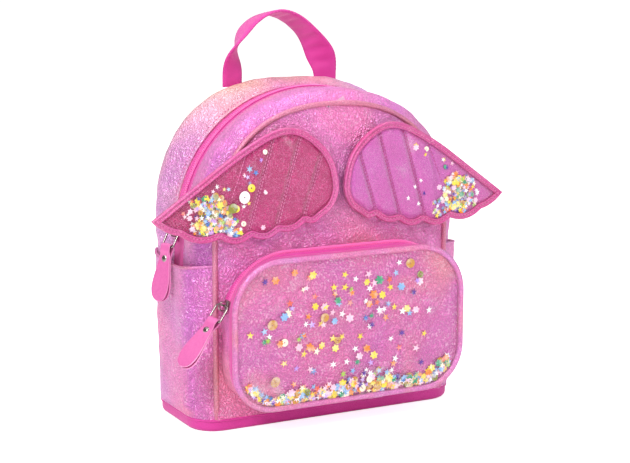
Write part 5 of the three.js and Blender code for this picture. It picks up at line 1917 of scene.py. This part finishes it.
print("stage: room, lights and camera")
clearSelection()
bpy.ops.mesh.primitive_grid_add(x_subdivisions=8, y_subdivisions=8, size=12, location=(0, 2, 0))
floor = bpy.context.object
floor.name = "floor"
floorPaint, floorTree, floorShader, floorPlace = startMaterial("floorPaint", Roughness=0.7)
floorCloud = addNode(floorTree, "ShaderNodeTexNoise", -700, 0, in_Scale=0.8, in_Detail=1)
floorTone = mixColour(floorTree, -350, 0)
floorTone.inputs["A"].default_value = (0.9, 0.9, 0.9, 1)
floorTone.inputs["B"].default_value = (0.93, 0.93, 0.93, 1)
join(floorTree, floorPlace, "Object", floorCloud, "Vector")
join(floorTree, floorCloud, "Fac", floorTone, "Factor")
join(floorTree, floorTone, "Result", floorShader, "Base Color")
floorReach = addNode(floorTree, "ShaderNodeVectorMath", -700, -300)
floorReach.operation = "LENGTH"
join(floorTree, floorPlace, "Object", floorReach, 0)
floorGlow = addNode(floorTree, "ShaderNodeMapRange", -500, -300,
                    in_From_Min=0.1, in_From_Max=0.6, in_To_Min=0.02, in_To_Max=0.75)
join(floorTree, floorReach, "Value", floorGlow, "Value")
floorRays = addNode(floorTree, "ShaderNodeLightPath", -500, -600)
floorShown = addNode(floorTree, "ShaderNodeMath", -300, -300)
floorShown.operation = "MULTIPLY"
join(floorTree, floorGlow, "Result", floorShown, 0)
join(floorTree, floorRays, "Is Camera Ray", floorShown, 1)
floorShader.inputs["Emission Color"].default_value = (1, 1, 1, 1)
join(floorTree, floorShown, "Value", floorShader, "Emission Strength")
floor.data.materials.append(floorPaint)

world = bpy.data.worlds.new("studio")
bpy.context.scene.world = world
world.use_nodes = True
sky = world.node_tree
rays = addNode(sky, "ShaderNodeLightPath", -700, 200)
white = addNode(sky, "ShaderNodeBackground", -300, -150)
white.inputs["Color"].default_value = (1, 1, 1, 1)
white.inputs["Strength"].default_value = 1.05
soft = sky.nodes["Background"]
soft.inputs["Color"].default_value = (1, 0.985, 0.995, 1)
soft.inputs["Strength"].default_value = 0.36
choice = addNode(sky, "ShaderNodeMixShader", 0, 100)
sky.links.new(rays.outputs["Is Camera Ray"], choice.inputs["Fac"])
sky.links.new(soft.outputs["Background"], choice.inputs[1])
sky.links.new(white.outputs["Background"], choice.inputs[2])
sky.links.new(choice.outputs["Shader"], sky.nodes["World Output"].inputs["Surface"])


def softLight(name, place, target, size, power, tint=(1, 1, 1)):
    data = bpy.data.lights.new(name, "AREA")
    data.shape = "RECTANGLE"
    data.size, data.size_y = size
    data.energy = power
    data.color = tint
    light = bpy.data.objects.new(name, data)
    bpy.context.scene.collection.objects.link(light)
    light.location = place
    light.rotation_euler = (Vector(target) - Vector(place)).to_track_quat("-Z", "Y").to_euler()
    return light


softLight("key_light", (-1.3, -1.0, 1.5), (0, 0, 0.13), (0.7, 0.7), 28)
softLight("fill_light", (1.4, -1.3, 0.8), (0, 0, 0.13), (1.0, 1.4), 8)
softLight("top_light", (0.0, 0.3, 2.2), (0, 0, 0.1), (3.0, 3.0), 50)
softLight("low_front_light", (-0.3, -2.0, 0.5), (0, 0, 0.12), (1.6, 0.5), 5)

lens = {"place": (-0.57706, -1.12200, 0.37196), "target": (0, 0, 0.130), "length": 93.86,
        "shiftX": 0.0145, "shiftY": 0.0147}
cameraData = bpy.data.cameras.new("camera")
cameraData.lens = lens["length"]
cameraData.sensor_width = 36
cameraData.shift_x = lens["shiftX"]
cameraData.shift_y = lens["shiftY"]
cameraData.clip_start = 0.01
camera = bpy.data.objects.new("camera", cameraData)
bpy.context.scene.collection.objects.link(camera)
camera.location = lens["place"]
camera.rotation_euler = (Vector(lens["target"]) - Vector(lens["place"])).to_track_quat("-Z", "Y").to_euler()
bpy.context.scene.camera = camera
bpy.context.scene.view_settings.view_transform = "Standard"
